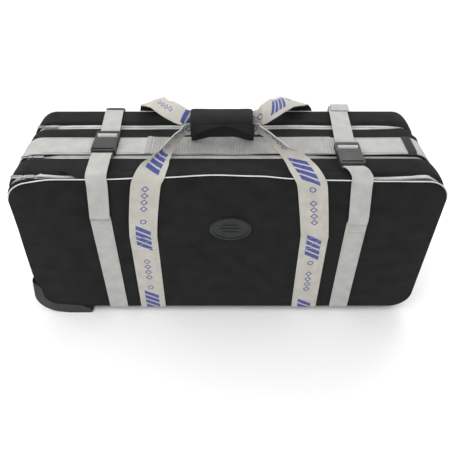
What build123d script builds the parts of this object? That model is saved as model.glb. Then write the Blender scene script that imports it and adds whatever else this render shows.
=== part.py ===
"""Wheeled soft travel case with three zipped compartments, webbing handles and buckle straps.

Frame: millimetres, X along the length, Y from front to back, Z up, floor at Z = 0.
The origin is on the floor, below the middle of the case.
"""
from build123d import *

import os

# ---- driving dimensions -------------------------------------------------------------------
LENGTH = 860.0              # fabric shell, along X
DEPTH = 265.0               # fabric shell, along Y
FABRIC_BOTTOM = 19.0        # the shell stands this high on its housings and feet
FABRIC_TOP = 389.0
CORNER_R = 46.0             # corners of the front outline
WALL = 5.0                  # padded fabric of the gussets
PANEL = 6.0                 # padded fabric of the big front and back panels
PIPING = 3.0                # piping band round the panels
HINGE_Z = 120.0             # the zips end here, and the covers fold here
HINGE_GAP = 0.5             # a cover starts this far above the tub
STRAP_CREASE = 4.0          # a strap on a cover starts this far above the fold

WEBBING_T = 2.5             # thickness of all webbing
PLAIN_W = 41.5              # plain grey webbing
HANDLE_W = 57.0             # handle webbing
PLAIN_X = (-251.0, 265.0)   # left and right plain straps
HANDLE_X = (-170.0, 183.5)  # left and right handle straps
PLAIN_STITCH_Z = (298.0, 285.0)
HANDLE_STITCH_Z = 246.0

# zips: middle of the teeth and half the width of the tape that shows
ZIP_FRONT = (-120.0, 8.0)
ZIP_MAIN = (-53.0, 5.5)
ZIP_BACK = (64.5, 10.0)
FRONT_DIVIDER_Y = (-67.0, -64.0)
BACK_DIVIDER_Y = (44.0, 47.0)
TAPE_T = 1.2
TAPE_TUCK = 4.5             # tape hidden under the fabric beside it
TEETH_W = 2.0
TEETH_H = 1.5
TEETH_GAP = 0.15            # from the middle of the zip to each row of teeth

WIDE_WEB_Y = (-47.5, 13.5)  # wide webbing round the middle of the case
WIDE_WEB_END_Z = 66.0
OVERLAY_X = (-163.0, 219.0)
OVERLAY_T = 2.0
KEEPER_X = (366.0, 383.0)
FLAP_X = (-319.0, 287.0)    # rain flap over the front zip
FLAP_EDGE_Y = -129.0
FLAP_T = (0.7, 2.1)         # free edge and sewn edge, above the fabric

BADGE_X = 9.6
BADGE_Z = 267.0
BADGE_SIZE = (86.0, 61.0)

GRIP_X = (-70.0, 57.0)      # hook-and-loop grip round both handle loops
GRIP_TOP = 465.0
GRIP_FOLD_Z = 446.0
GRIP_BOTTOM = 396.0

WHEEL_X = -400.0
WHEEL_Z = 34.0
WHEEL_Y = 105.0             # front and back wheel, either side of the middle
WHEEL_R = 28.0
WHEEL_W = 26.0
AXLE_R = 4.0
RUNNING_FIT = 0.06

FOOT_X = 370.0
FOOT_Y = 95.0
FOOT_SIZE = (60.0, 44.0)

BUCKLE_X = (-244.0, 244.0)
BACK_EDGE_X = (-251.0, 252.0)   # where the buckle straps cross the back edge
BUCKLE_W = 49.0
BUCKLE_T = 12.0
BUCKLE_BOTTOM = 392.4
FEMALE_L = 41.0
MALE_L = 33.5
BUCKLE_GAP = 0.5
BUCKLE_START_Y = (-54.0, -98.0)  # front end of the left and right buckle

SLIDER_X = -372.0
SLIDER_SIZE = (16.0, 9.0)

# ---- derived values -----------------------------------------------------------------------
HALF_X = LENGTH / 2
HALF_Y = DEPTH / 2
HEIGHT = FABRIC_TOP - FABRIC_BOTTOM
MID_Z = (FABRIC_TOP + FABRIC_BOTTOM) / 2
PANEL_Y = HALF_Y - PANEL             # inner face of the front and back panels
BOARD_BOTTOM = FABRIC_BOTTOM + WALL
BOARD_T = 3.0
BOARD_X = (-355.0, 408.0)
BOARD_HALF_Y = 120.0
BOARD_TOP = BOARD_BOTTOM + BOARD_T
WEB_TOP = FABRIC_TOP + WEBBING_T
BIG = 2000.0
STRAP_Y = HALF_Y + WEBBING_T / 2     # middle of webbing sewn flat on a panel
FREE_Y = HALF_Y + WEBBING_T * 1.5 + 0.1   # middle of webbing that lies loose on it
FRONT, BACK = -1, 1


# ---- helpers ------------------------------------------------------------------------------
def outline(inset):
    """Rounded front outline of the case, inset from the fabric edge, in X and Z."""
    width = LENGTH - 2 * inset
    height = HEIGHT - 2 * inset
    return Pos(0, MID_Z) * RectangleRounded(width, height, CORNER_R - inset)


def plate(shape, y_from, y_to):
    """Solid between two Y planes, from a sketch whose axes are X and Z."""
    plane = Plane(origin=(0, y_from, 0), x_dir=(1, 0, 0), z_dir=(0, -1, 0))
    return extrude(plane * shape, amount=y_from - y_to)


def ring(y_from, y_to, inset, thickness):
    """Closed band that follows the outline."""
    return plate(outline(inset) - outline(inset + thickness), y_from, y_to)


def block(x, y, z):
    """Box from its limits, each a (low, high) pair."""
    sizes = [high - low for low, high in (x, y, z)]
    middle = [(high + low) / 2 for low, high in (x, y, z)]
    return Pos(*middle) * Box(*sizes)


def above(shape, level):
    return shape & block((-BIG, BIG), (-BIG, BIG), (level, BIG))


def below(shape, level):
    return shape & block((-BIG, BIG), (-BIG, BIG), (-BIG, level))


def upper(shape):
    """The part of a shape that belongs to the zipped top of the case."""
    return above(shape, HINGE_Z + HINGE_GAP)


def lower(shape):
    return below(shape, HINGE_Z)


def both_sides(shape):
    """A shape at the front and its mirror image at the back."""
    return [shape, mirror(shape, about=Plane.XZ)]


def cylinder_y(x, z, radius, y_from, y_to):
    return plate(Pos(x, z) * Circle(radius), y_from, y_to)


def cylinder_z(x, y, radius, z_from, z_to):
    return Pos(x, y, (z_from + z_to) / 2) * Cylinder(radius, z_to - z_from)


def screw_places(x, ys):
    return [(x, side * y) for side in (FRONT, BACK) for y in ys]


NODES = {}


def node(name, *shapes):
    """Store a sub-part; several shapes stay separate solids in one node."""
    solids = [solid for shape in shapes for solid in shape.solids()]
    NODES[name] = solids[0] if len(solids) == 1 else Compound(children=solids)


# ---- screws, housings and feet ------------------------------------------------------------
SCREW_R = 2.5
SCREW_HEAD_R = 4.8
HEAD_BOTTOM = 3.0
HEAD_TOP = 6.0
FOOT_SCREWS = screw_places(FOOT_X, (FOOT_Y - 12, FOOT_Y + 12))
HOUSING_SCREWS = screw_places(-342.0, (84.0, 118.0))


def screw(x, y):
    head = cylinder_z(x, y, SCREW_HEAD_R, HEAD_BOTTOM, HEAD_TOP)
    slot = block((x - 4, x + 4), (y - 0.6, y + 0.6), (HEAD_BOTTOM, HEAD_BOTTOM + 1.2))
    return head + cylinder_z(x, y, SCREW_R, HEAD_TOP, BOARD_TOP) - slot


def screw_hole(x, y):
    return cylinder_z(x, y, SCREW_HEAD_R + 0.4, -1, HEAD_TOP) + shank_hole(x, y)


def shank_hole(x, y):
    return cylinder_z(x, y, SCREW_R, HEAD_TOP, BOARD_TOP + 1)


def wheel_well():
    """Space in the tub that the housing's inner box takes."""
    y_range = (-PANEL_Y, WELL_INNER_Y)
    return block((-BIG, WHEEL_X + WELL_REACH), y_range, (0, WHEEL_Z + WELL_REACH))


GUARD_OUT = -440.0          # outermost line of the corner guard
GUARD_TOP = 114.0
GUARD_LIP_T = 3.0
GUARD_FOOT_X = (-372.0, -322.0)   # flat sole that stands on the floor
WELL_REACH = 35.0           # inner box, from the axle
WELL_INNER_Y = -WHEEL_Y + 21.5
HOUSING_INNER_Y = -WHEEL_Y + 33.0


def guard_profile():
    """Outer corner guard seen from the front: an L with a lip on the panel."""
    tip = (GUARD_OUT + 7, GUARD_TOP)
    bend = (GUARD_OUT, 62)
    sole = (-393, 4)
    heel = (-392, 32)
    knee = (-419, 62)
    corner = ThreePointArc(bend, (-426, 21), sole)
    base = Polyline(sole, (GUARD_FOOT_X[0], 0), (GUARD_FOOT_X[1], 0), (-316, 6), (-323, 16), (-338, 26), heel)
    inside = ThreePointArc(heel, (-411, 42), knee)
    end = Polyline(knee, (-419, 88), (GUARD_OUT + 7, 106), tip)
    return make_face([Polyline(tip, bend), corner, base, inside, end])


def wheel_housing():
    lip = plate(guard_profile(), -HALF_Y - GUARD_LIP_T, -HALF_Y)
    shell = plate(guard_profile() - outline(0), -HALF_Y, HOUSING_INNER_Y)
    box = wheel_well() & plate(outline(0), -HALF_Y, HALF_Y)
    half_slot = WHEEL_W / 2 + 2.0
    slot = cylinder_y(WHEEL_X, WHEEL_Z, WHEEL_R + 3, -WHEEL_Y - half_slot, -WHEEL_Y + half_slot)
    body = lip + shell + box - slot
    body = body - cylinder_y(WHEEL_X, WHEEL_Z, AXLE_R, -HALF_Y, HALF_Y)
    for x, y in HOUSING_SCREWS:
        body = body - screw_hole(x, y)
    return body


def axle():
    return cylinder_y(WHEEL_X, WHEEL_Z, AXLE_R, -PANEL_Y, WELL_INNER_Y)


def foot():
    x = (FOOT_X - FOOT_SIZE[0] / 2, FOOT_X + FOOT_SIZE[0] / 2)
    y = (-FOOT_Y - FOOT_SIZE[1] / 2, -FOOT_Y + FOOT_SIZE[1] / 2)
    body = block(x, y, (0, FABRIC_BOTTOM))
    body = fillet(body.edges().filter_by(Axis.Z), 10)
    body = chamfer(body.faces().sort_by(Axis.Z)[0].edges(), 3)
    for place in FOOT_SCREWS:
        body = body - screw_hole(*place)
    return body


housing_front, housing_back = both_sides(wheel_housing())
node("wheel_housing_front", housing_front)
node("wheel_housing_back", housing_back)
node("wheel_axles", *both_sides(axle()))
node("skid_feet", *both_sides(foot()))
node("base_screws", *[screw(x, y) for x, y in FOOT_SCREWS + HOUSING_SCREWS])

# ---- wheels -------------------------------------------------------------------------------
HUB_R = 19.0


def wheel_parts():
    low = -WHEEL_Y - WHEEL_W / 2
    high = -WHEEL_Y + WHEEL_W / 2
    disc = cylinder_y(WHEEL_X, WHEEL_Z, WHEEL_R, low, high)
    disc = fillet(disc.edges(), 3)
    tyre = disc - cylinder_y(WHEEL_X, WHEEL_Z, HUB_R, low, high)
    hub = cylinder_y(WHEEL_X, WHEEL_Z, HUB_R, low, high)
    hub = hub - cylinder_y(WHEEL_X, WHEEL_Z, HUB_R - 4, low, low + 3)
    hub = hub - cylinder_y(WHEEL_X, WHEEL_Z, HUB_R - 4, high - 3, high)
    hub = hub + cylinder_y(WHEEL_X, WHEEL_Z, AXLE_R + 3, low, high)
    hub = hub - cylinder_y(WHEEL_X, WHEEL_Z, AXLE_R + RUNNING_FIT, low, high)
    return tyre, hub


tyre_solid, hub_solid = wheel_parts()
for part_name, solid in (("tyre", tyre_solid), ("hub", hub_solid)):
    in_front, behind = both_sides(solid)
    node(f"wheel_{part_name}_front", in_front)
    node(f"wheel_{part_name}_back", behind)


# ---- tub: everything below the fold -------------------------------------------------------
def low_divider():
    """Foot of the front divider, sewn into the tub and cut off at the base board."""
    wall = plate(outline(WALL), *FRONT_DIVIDER_Y)
    return below(above(wall, BOARD_TOP), HINGE_Z)


def base_tub():
    middle = ring(-PANEL_Y, PANEL_Y, 0, WALL)
    walls = both_sides(plate(outline(PIPING), -HALF_Y, -PANEL_Y))
    tub = lower(middle + walls[0] + walls[1])
    for well in both_sides(wheel_well()):
        tub = tub - well
    for x, y in FOOT_SCREWS + HOUSING_SCREWS:
        tub = tub - shank_hole(x, y)
    return tub + low_divider()


def base_board():
    board = block(BOARD_X, (-BOARD_HALF_Y, BOARD_HALF_Y), (BOARD_BOTTOM, BOARD_TOP))
    board = board & plate(outline(WALL), -HALF_Y, HALF_Y)
    for x, y in FOOT_SCREWS + HOUSING_SCREWS:
        board = board - shank_hole(x, y)
    return board


def base_strap(x_mid, width):
    """Webbing sewn to the tub: down the front, under the bottom and up the back."""
    level = HINGE_Z - 1
    bottom = FABRIC_BOTTOM - WEBBING_T
    outside = block((x_mid - width / 2, x_mid + width / 2),
                    (-HALF_Y - WEBBING_T, HALF_Y + WEBBING_T), (bottom, level))
    inside = block((-BIG, BIG), (-HALF_Y, HALF_Y), (FABRIC_BOTTOM, BIG))
    return outside - inside


node("base_tub", base_tub())
node("base_board", base_board())
node("piping_lower", *both_sides(lower(ring(-HALF_Y, -PANEL_Y, 0, PIPING))))
base_straps = [base_strap(x, PLAIN_W) for x in PLAIN_X]
base_straps += [base_strap(x, HANDLE_W) for x in HANDLE_X]
node("base_straps", *base_straps)


# ---- middle of the case -------------------------------------------------------------------
def zip_half(zip_line, side, y_end):
    """Half a zip: tape up to y_end, with teeth beside the middle line."""
    y_mid = zip_line[0]
    near = y_mid + side * TEETH_GAP
    y_pair = sorted((near, y_end))
    teeth_pair = sorted((near, near + side * TEETH_W))
    tape = ring(y_pair[0], y_pair[1], WALL, TAPE_T)
    teeth = ring(teeth_pair[0], teeth_pair[1], WALL - TEETH_H, TEETH_H)
    return tape + teeth


def zip_edge(zip_line, side):
    """Where the fabric beside a zip begins."""
    return zip_line[0] + side * zip_line[1]


def back_divider():
    wall = plate(outline(WALL), *BACK_DIVIDER_Y)
    return above(wall, BOARD_TOP)


def keeper():
    """Short band sewn over the wide webbing near its right end."""
    y = (WIDE_WEB_Y[0] + 0.2, WIDE_WEB_Y[1] + 4)
    band = block(KEEPER_X, y, (FABRIC_TOP, WEB_TOP + 1.5))
    return band - ring(WIDE_WEB_Y[0], WIDE_WEB_Y[1], -WEBBING_T, WEBBING_T)


CASE_TAPE_MAIN = zip_edge(ZIP_MAIN, BACK) + TAPE_TUCK
CASE_TAPE_BACK = zip_edge(ZIP_BACK, FRONT) - TAPE_TUCK
gusset_y = (zip_edge(ZIP_MAIN, BACK), zip_edge(ZIP_BACK, FRONT))
node("centre_gusset", above(ring(*gusset_y, 0, WALL), HINGE_Z))
node("zip_main_tape_case", above(zip_half(ZIP_MAIN, BACK, CASE_TAPE_MAIN), HINGE_Z))
node("zip_back_tape_case", above(zip_half(ZIP_BACK, FRONT, CASE_TAPE_BACK), HINGE_Z))
node("back_divider", back_divider())
node("wide_webbing", above(ring(*WIDE_WEB_Y, -WEBBING_T, WEBBING_T), WIDE_WEB_END_Z))
overlay_z = (WEB_TOP, WEB_TOP + OVERLAY_T)
node("centre_webbing_overlay", block(OVERLAY_X, WIDE_WEB_Y, overlay_z))
node("webbing_keeper", keeper())


# ---- end handle ---------------------------------------------------------------------------
END_HANDLE_Z = (150.0, 310.0)
END_HANDLE_RISE = 14.5
END_HANDLE_T = 4.0


def end_handle():
    """Sewn grab handle on the end away from the wheels, arched off the webbing."""
    face = HALF_X + WEBBING_T
    feet_out = face + 2
    arch_out = face + END_HANDLE_RISE
    arch_in = arch_out - END_HANDLE_T
    low, high = END_HANDLE_Z
    profile = Polyline((face, low), (feet_out, low), (feet_out, low + 26), (arch_out, low + 46),
                       (arch_out, high - 46), (feet_out, high - 26), (feet_out, high), (face, high),
                       (face, high - 28), (arch_in, high - 49), (arch_in, low + 49), (face, low + 28), (face, low))
    return plate(make_face(profile), WIDE_WEB_Y[0] + 15, WIDE_WEB_Y[1] - 15)


node("end_handle", end_handle())

# ---- front lid: the front compartment's frame ---------------------------------------------
LID_TAPE_MAIN = zip_edge(ZIP_MAIN, FRONT) - TAPE_TUCK
LID_TAPE_FRONT = zip_edge(ZIP_FRONT, BACK) + TAPE_TUCK
lid_y = (zip_edge(ZIP_FRONT, BACK), zip_edge(ZIP_MAIN, FRONT))
node("front_gusset", upper(ring(*lid_y, 0, WALL)))
node("front_divider", upper(plate(outline(WALL), *FRONT_DIVIDER_Y)))
node("zip_main_tape_lid", upper(zip_half(ZIP_MAIN, FRONT, LID_TAPE_MAIN)))
node("zip_front_tape_lid", upper(zip_half(ZIP_FRONT, BACK, LID_TAPE_FRONT)))


def zip_flap():
    """Rain flap over the front zip, sewn behind it and free in front."""
    top = FABRIC_TOP + FLAP_T[1]
    sewn = block(FLAP_X, (lid_y[0], lid_y[0] + 6), (FABRIC_TOP, top))
    free = block(FLAP_X, (FLAP_EDGE_Y, lid_y[0]), (FABRIC_TOP + FLAP_T[0], top))
    return sewn + free


node("zip_front_flap", zip_flap())


# ---- covers: front and back panels --------------------------------------------------------
def cover_strap(x_mid, width, top_z):
    """Webbing sewn flat on the front panel above the fold."""
    y = (-HALF_Y - WEBBING_T, -HALF_Y)
    x = (x_mid - width / 2, x_mid + width / 2)
    return block(x, y, (HINGE_Z + STRAP_CREASE, top_z))


def panel():
    return upper(plate(outline(PIPING), -HALF_Y, -PANEL_Y))


def panel_board():
    board = plate(outline(WALL + 8), -PANEL_Y, -PANEL_Y + 2)
    return above(board, HINGE_Z + 6)


front_panel, back_panel = both_sides(panel())
front_piping, back_piping = both_sides(upper(ring(-HALF_Y, -PANEL_Y, 0, PIPING)))
plain = [cover_strap(x, PLAIN_W, z) for x, z in zip(PLAIN_X, PLAIN_STITCH_Z)]
handle = [cover_strap(x, HANDLE_W, HANDLE_STITCH_Z) for x in HANDLE_X]
node("front_panel", front_panel)
node("front_piping", front_piping)
node("front_panel_board", panel_board())
node("zip_front_tape_cover", upper(zip_half(ZIP_FRONT, FRONT, -PANEL_Y)))
node("front_plain_straps", *plain)
node("front_handle_straps", *handle)

COVER_TAPE_BACK = zip_edge(ZIP_BACK, BACK) + TAPE_TUCK
node("back_gusset", upper(ring(zip_edge(ZIP_BACK, BACK), PANEL_Y, 0, WALL)))
node("back_panel", back_panel)
node("back_piping", back_piping)
node("zip_back_tape_cover", upper(zip_half(ZIP_BACK, BACK, COVER_TAPE_BACK)))
node("back_panel_straps", *[mirror(shape, about=Plane.XZ) for shape in plain + handle])


# ---- badge --------------------------------------------------------------------------------
def oval(scale_down):
    shape = Ellipse(BADGE_SIZE[0] / 2 - scale_down, BADGE_SIZE[1] / 2 - scale_down)
    return Pos(BADGE_X, BADGE_Z) * shape


def badge():
    """Rubber oval with a raised rim and plain raised bars."""
    raised = oval(2) - oval(5.5)
    for step in (-1, 0, 1):
        raised = raised + Pos(BADGE_X, BADGE_Z + step * 9) * Rectangle(40 - 10 * abs(step), 3.5)
    base = plate(oval(0), -HALF_Y - 2.5, -HALF_Y)
    return base + plate(raised, -HALF_Y - 4.0, -HALF_Y - 2.5)


node("badge", badge())

# ---- handle loops -------------------------------------------------------------------------
BAR_T = 9.0                 # webbing folded inside the grip
BAR_W = 20.0
FRONT_BAR = (-5.5, 425.0)   # its place in Y and Z
BACK_BAR = (5.5, 443.0)
BAR_X = (GRIP_X[0] + 4, GRIP_X[1] - 4)
LEFTWARD = (-1, 0, 0)
RIGHTWARD = (1, 0, 0)


def webbing_through(sections):
    """Webbing lofted through sections, each (centre, direction across, width, thickness)."""
    faces = []
    last = len(sections) - 1
    for k, (centre, across, width, thickness) in enumerate(sections):
        along = Vector(*sections[min(k + 1, last)][0]) - Vector(*sections[max(k - 1, 0)][0])
        across = Vector(*across)
        square = along - across * (across.dot(along) / across.dot(across))
        faces.append(Plane(origin=centre, x_dir=across, z_dir=square) * Rectangle(width, thickness))
    return loft(faces, ruled=True)


def strip(rows):
    """Sections of plain webbing thickness."""
    return [(centre, across, width, WEBBING_T) for centre, across, width in rows]


def front_loop():
    """One length of webbing from the left stitches, through the grip, to the right stitches."""
    y_bar, z_bar = FRONT_BAR
    left = strip([
        ((HANDLE_X[0], -FREE_Y, HANDLE_STITCH_Z - 1), RIGHTWARD, HANDLE_W),
        ((-152, -FREE_Y - 1, 375), RIGHTWARD, HANDLE_W),
        ((-144, -FREE_Y - 0.4, 396), (1, 0.05, -0.1), HANDLE_W),
        ((-136, -118, 407), (0.92, 0.26, -0.3), 54),
        ((-127, -95, 413), (0.72, 0.55, -0.44), 46),
        ((-118, -70, 414), (0.5, 0.69, -0.51), 40),
        ((-103, -35, 418), (0.37, 0.66, -0.65), 34),
        ((-90, -16, 423), (0.2, 0.6, -0.75), 28),
    ])
    right = strip([
        ((72, -16, 428), (-0.1, 0.6, -0.78), 28),
        ((90, -32, 424), (-0.1, 0.66, -0.75), 32),
        ((112, -62, 417), (-0.4, 0.66, -0.64), 38),
        ((125, -84, 416), (-0.65, 0.5, -0.56), 44),
        ((137, -104, 412), (-0.84, 0.38, -0.38), 50),
        ((147, -122, 405), (-0.96, 0.16, -0.2), 55),
        ((157, -FREE_Y - 0.4, 394), (-1, 0.05, -0.05), HANDLE_W),
        ((164, -FREE_Y - 1, 375), LEFTWARD, HANDLE_W),
        ((HANDLE_X[1], -FREE_Y, HANDLE_STITCH_Z - 1), LEFTWARD, HANDLE_W),
    ])
    bar = [((x, y_bar, z_bar), (0, 0, -1), BAR_W, BAR_T) for x in BAR_X]
    return webbing_through(left + bar + right)


def back_loop():
    y_bar, z_bar = BACK_BAR
    left = strip([
        ((HANDLE_X[0], FREE_Y, HANDLE_STITCH_Z - 1), RIGHTWARD, HANDLE_W),
        ((-167, FREE_Y + 1, 380), RIGHTWARD, HANDLE_W),
        ((-164, FREE_Y - 2, 404), (1, -0.05, 0.1), HANDLE_W),
        ((-159, 121, 419), (0.8, 0.5, 0.1), 54),
        ((-148, 100, 428), (0.5, 0.85, 0.0), 50),
        ((-132, 70, 434), (0.35, 0.9, 0.1), 46),
        ((-111, 42, 439), (0.2, 0.9, 0.32), 40),
        ((-92, 21, 442), (0.1, 0.7, 0.6), 32),
    ])
    right = strip([
        ((76, 20, 443), (-0.1, 0.7, 0.6), 32),
        ((95, 43, 442), (-0.2, 0.9, 0.35), 40),
        ((116, 73, 437), (-0.35, 0.9, 0.1), 46),
        ((133, 100, 430), (-0.5, 0.85, 0.0), 50),
        ((146, 121, 420), (-0.8, 0.5, 0.1), 54),
        ((160, FREE_Y - 2, 405), (-1, -0.05, 0.1), HANDLE_W),
        ((170, FREE_Y + 1, 380), LEFTWARD, HANDLE_W),
        ((HANDLE_X[1], FREE_Y, HANDLE_STITCH_Z - 1), LEFTWARD, HANDLE_W),
    ])
    bar = [((x, y_bar, z_bar), (0, 0, 1), BAR_W, BAR_T) for x in BAR_X]
    return webbing_through(left + bar + right)


node("front_handle_loop", front_loop())
node("back_handle_loop", back_loop())


def grip_section(inset):
    """Teardrop cross-section of the grip in Y and Z."""
    top = GRIP_TOP - inset
    half_top = 24 - inset
    half_low = 15 - inset
    points = [(-half_top, GRIP_FOLD_Z), (-half_top + 8, top), (half_top - 8, top), (half_top, GRIP_FOLD_Z),
              (half_low, GRIP_BOTTOM), (-half_low, GRIP_BOTTOM), (-half_top, GRIP_FOLD_Z)]
    return make_face(Polyline(*points))


def grip_wrap():
    hollow = grip_section(4.5)
    wrap = extrude(Plane.YZ * (grip_section(0) - hollow), amount=GRIP_X[1] - GRIP_X[0])
    wrap = Pos(GRIP_X[0], 0, 0) * wrap
    front_leg = block((-BIG, BIG), (-BIG, 0), (-BIG, GRIP_FOLD_Z))
    flap = wrap & front_leg
    return wrap - front_leg, above(flap, GRIP_BOTTOM) & below(flap, GRIP_FOLD_Z - 0.6)


grip_pad, grip_flap = grip_wrap()
node("grip_pad", grip_pad)
node("grip_flap", grip_flap)

# ---- buckles and their loose straps -------------------------------------------------------
STRAP_LEVEL = BUCKLE_BOTTOM + 4.6    # middle of the webbing where it meets the buckle
BUCKLE_TOP = BUCKLE_BOTTOM + BUCKLE_T
CAVITY_W = 39.0
CAVITY_Z = (BUCKLE_BOTTOM + 2.5, BUCKLE_TOP - 2.5)
CAVITY_L = 29.0
ARM_W = 5.0
ARM_L = 24.0
ARM_SHOULDER = 3.0
PRONG_CLEAR = 0.4


def rounded_box(x, y, z, radius):
    body = block(x, y, z)
    return fillet(body.edges().filter_by(Axis.Z), radius)


def buckle_female(x_mid, y_start):
    x = (x_mid - BUCKLE_W / 2, x_mid + BUCKLE_W / 2)
    y_end = y_start + FEMALE_L
    body = rounded_box(x, (y_start, y_end), (BUCKLE_BOTTOM, BUCKLE_TOP), 4)
    body = chamfer(body.faces().sort_by(Axis.Z)[-1].edges(), 1.2)
    cavity_x = (x_mid - CAVITY_W / 2, x_mid + CAVITY_W / 2)
    body = body - block(cavity_x, (y_end - CAVITY_L, y_end + 1), CAVITY_Z)
    window_y = (y_end - 17, y_end - 5)
    body = body - block((x[0] - 1, x[1] + 1), window_y, CAVITY_Z)
    slot_y = (y_start + 3.5, y_start + 8.5)
    slot_x = (x_mid - PLAIN_W / 2 - 0.5, x_mid + PLAIN_W / 2 + 0.5)
    body = body - block(slot_x, slot_y, (BUCKLE_BOTTOM - 1, BUCKLE_TOP + 1))
    return body


def buckle_strap(side, x_stitch, x_edge, x_buckle, stitch_z, y_end):
    """Loose webbing from its stitches over the top edge to the buckle; side is FRONT or BACK."""
    y_free = side * FREE_Y
    centres = [
        (x_stitch, y_free, stitch_z - 4),
        (x_edge, y_free, STRAP_LEVEL - 9),
        (x_edge, y_free - side * 3, STRAP_LEVEL - 3),
        (x_edge, y_free - side * 9, STRAP_LEVEL),
        (x_buckle, y_end + side * 8, STRAP_LEVEL),
        (x_buckle, y_end, STRAP_LEVEL),
    ]
    return webbing_through([(centre, RIGHTWARD, PLAIN_W, WEBBING_T) for centre in centres])


def female_strap(x_stitch, x_buckle, y_start, stitch_z):
    return buckle_strap(FRONT, x_stitch, x_stitch, x_buckle, stitch_z, y_start - 0.2)


def female_loop(x_mid, y_start):
    """End of the webbing turned round the bar of the female buckle."""
    y = (y_start + 4, y_start + 8)
    half = PLAIN_W / 2
    return block((x_mid - half, x_mid + half), y, (BUCKLE_BOTTOM + 1, BUCKLE_TOP - 1))


def buckle_male(x_mid, y_start):
    """Ladder-lock end with two strap slots, and the tongue that guides it."""
    y_low = y_start + FEMALE_L + BUCKLE_GAP
    y_high = y_low + MALE_L
    x = (x_mid - BUCKLE_W / 2, x_mid + BUCKLE_W / 2)
    body = rounded_box(x, (y_low, y_high), (BUCKLE_BOTTOM + 1, BUCKLE_TOP - 1), 4)
    slot_x = (x_mid - PLAIN_W / 2 - 0.5, x_mid + PLAIN_W / 2 + 0.5)
    for slot_low in (y_low + 9.0, y_low + 20.0):
        slot = block(slot_x, (slot_low, slot_low + 7), (BUCKLE_BOTTOM - 1, BUCKLE_TOP + 1))
        body = body - slot
    tongue_z = (CAVITY_Z[0] + PRONG_CLEAR, CAVITY_Z[1] - PRONG_CLEAR)
    tongue = block((x_mid - 4, x_mid + 4), (y_low - 26, y_low), tongue_z)
    return body + tongue


def buckle_arm(x_mid, y_start, side):
    """One springy side arm; its shoulder shows in the female buckle's side window."""
    y_low = y_start + FEMALE_L + BUCKLE_GAP
    z = (CAVITY_Z[0] + PRONG_CLEAR, CAVITY_Z[1] - PRONG_CLEAR)
    outer = CAVITY_W / 2 - PRONG_CLEAR
    x = sorted((x_mid + side * (outer - ARM_W), x_mid + side * outer))
    stem = block(x, (y_low - ARM_L, y_low - 0.3), z)
    shoulder_x = sorted((x_mid + side * (outer - 1), x_mid + side * (outer + ARM_SHOULDER)))
    shoulder = block(shoulder_x, (y_low - 16, y_low - 6), z)
    return stem + shoulder


def male_strap(x_stitch, x_edge, x_buckle, stitch_z, y_start):
    y_end = y_start + FEMALE_L + BUCKLE_GAP + MALE_L + 0.2
    return buckle_strap(BACK, x_stitch, x_edge, x_buckle, stitch_z, y_end)


def male_loop(x_mid, y_start):
    """Webbing threaded up through one slot of the ladder lock and down the other."""
    y_low = y_start + FEMALE_L + BUCKLE_GAP
    half = PLAIN_W / 2
    x = (x_mid - half, x_mid + half)
    z = (BUCKLE_BOTTOM + 0.6, BUCKLE_TOP - 0.6)
    down = block(x, (y_low + 10.5, y_low + 14.5), z)
    up = block(x, (y_low + 21.5, y_low + 25.5), z)
    over = block(x, (y_low + 10.5, y_low + 25.5), (BUCKLE_TOP - 1, BUCKLE_TOP + 1))
    return down + up + over


for k, label in enumerate(("left", "right")):
    x = BUCKLE_X[k]
    y = BUCKLE_START_Y[k]
    z = PLAIN_STITCH_Z[k]
    node(f"front_strap_{label}", female_strap(PLAIN_X[k], x, y, z), female_loop(x, y))
    node(f"buckle_female_{label}", buckle_female(x, y))
    node(f"back_strap_{label}", male_strap(PLAIN_X[k], BACK_EDGE_X[k], x, z, y), male_loop(x, y))
    node(f"buckle_male_{label}", buckle_male(x, y))
    node(f"buckle_arm_{label}_a", buckle_arm(x, y, -1))
    node(f"buckle_arm_{label}_b", buckle_arm(x, y, 1))

# ---- zip sliders and pulls ----------------------------------------------------------------
SLIDER_LOW = FABRIC_TOP - WALL + 0.3
SLIDER_ROOF = FABRIC_TOP - WALL + TEETH_H + 0.3
SLIDER_TOP = FABRIC_TOP - 0.4
PIN_X = SLIDER_X - SLIDER_SIZE[0] / 2 - 2.2
PIN_Z = FABRIC_TOP - 1.75
PIN_R = 0.8
PULL_L = 27.0


def slider(y_mid):
    x = (SLIDER_X - SLIDER_SIZE[0] / 2, SLIDER_X + SLIDER_SIZE[0] / 2)
    half = SLIDER_SIZE[1] / 2
    body = rounded_box(x, (y_mid - half, y_mid + half), (SLIDER_LOW, SLIDER_TOP), 2)
    teeth_room = TEETH_GAP + TEETH_W + 0.5
    body = body - block((-BIG, BIG), (y_mid - teeth_room, y_mid + teeth_room), (0, SLIDER_ROOF))
    for side in (-1, 1):
        lug_y = sorted((y_mid + side * 2.8, y_mid + side * 4))
        body = body + block((PIN_X - 1.2, x[0] + 2), lug_y, (PIN_Z - 1.2, PIN_Z + 1.2))
    return body + cylinder_y(PIN_X, PIN_Z, PIN_R, y_mid - 3.4, y_mid + 3.4)


def pull(y_mid):
    eye = cylinder_y(PIN_X, PIN_Z, PIN_R + 0.85, y_mid - 2.5, y_mid + 2.5)
    neck = block((PIN_X - 8, PIN_X), (y_mid - 2.5, y_mid + 2.5), (PIN_Z - 0.8, PIN_Z + 0.8))
    tab = block((PIN_X - PULL_L, PIN_X - 4), (y_mid - 4, y_mid + 4), (PIN_Z - 0.8, PIN_Z + 0.8))
    tab = fillet(tab.edges().filter_by(Axis.Z), 1.8)
    hole = block((PIN_X - 22, PIN_X - 11), (y_mid - 1.6, y_mid + 1.6), (0, BIG))
    return eye + neck + tab - hole - cylinder_y(PIN_X, PIN_Z, PIN_R + 0.07, y_mid - 5, y_mid + 5)


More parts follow.
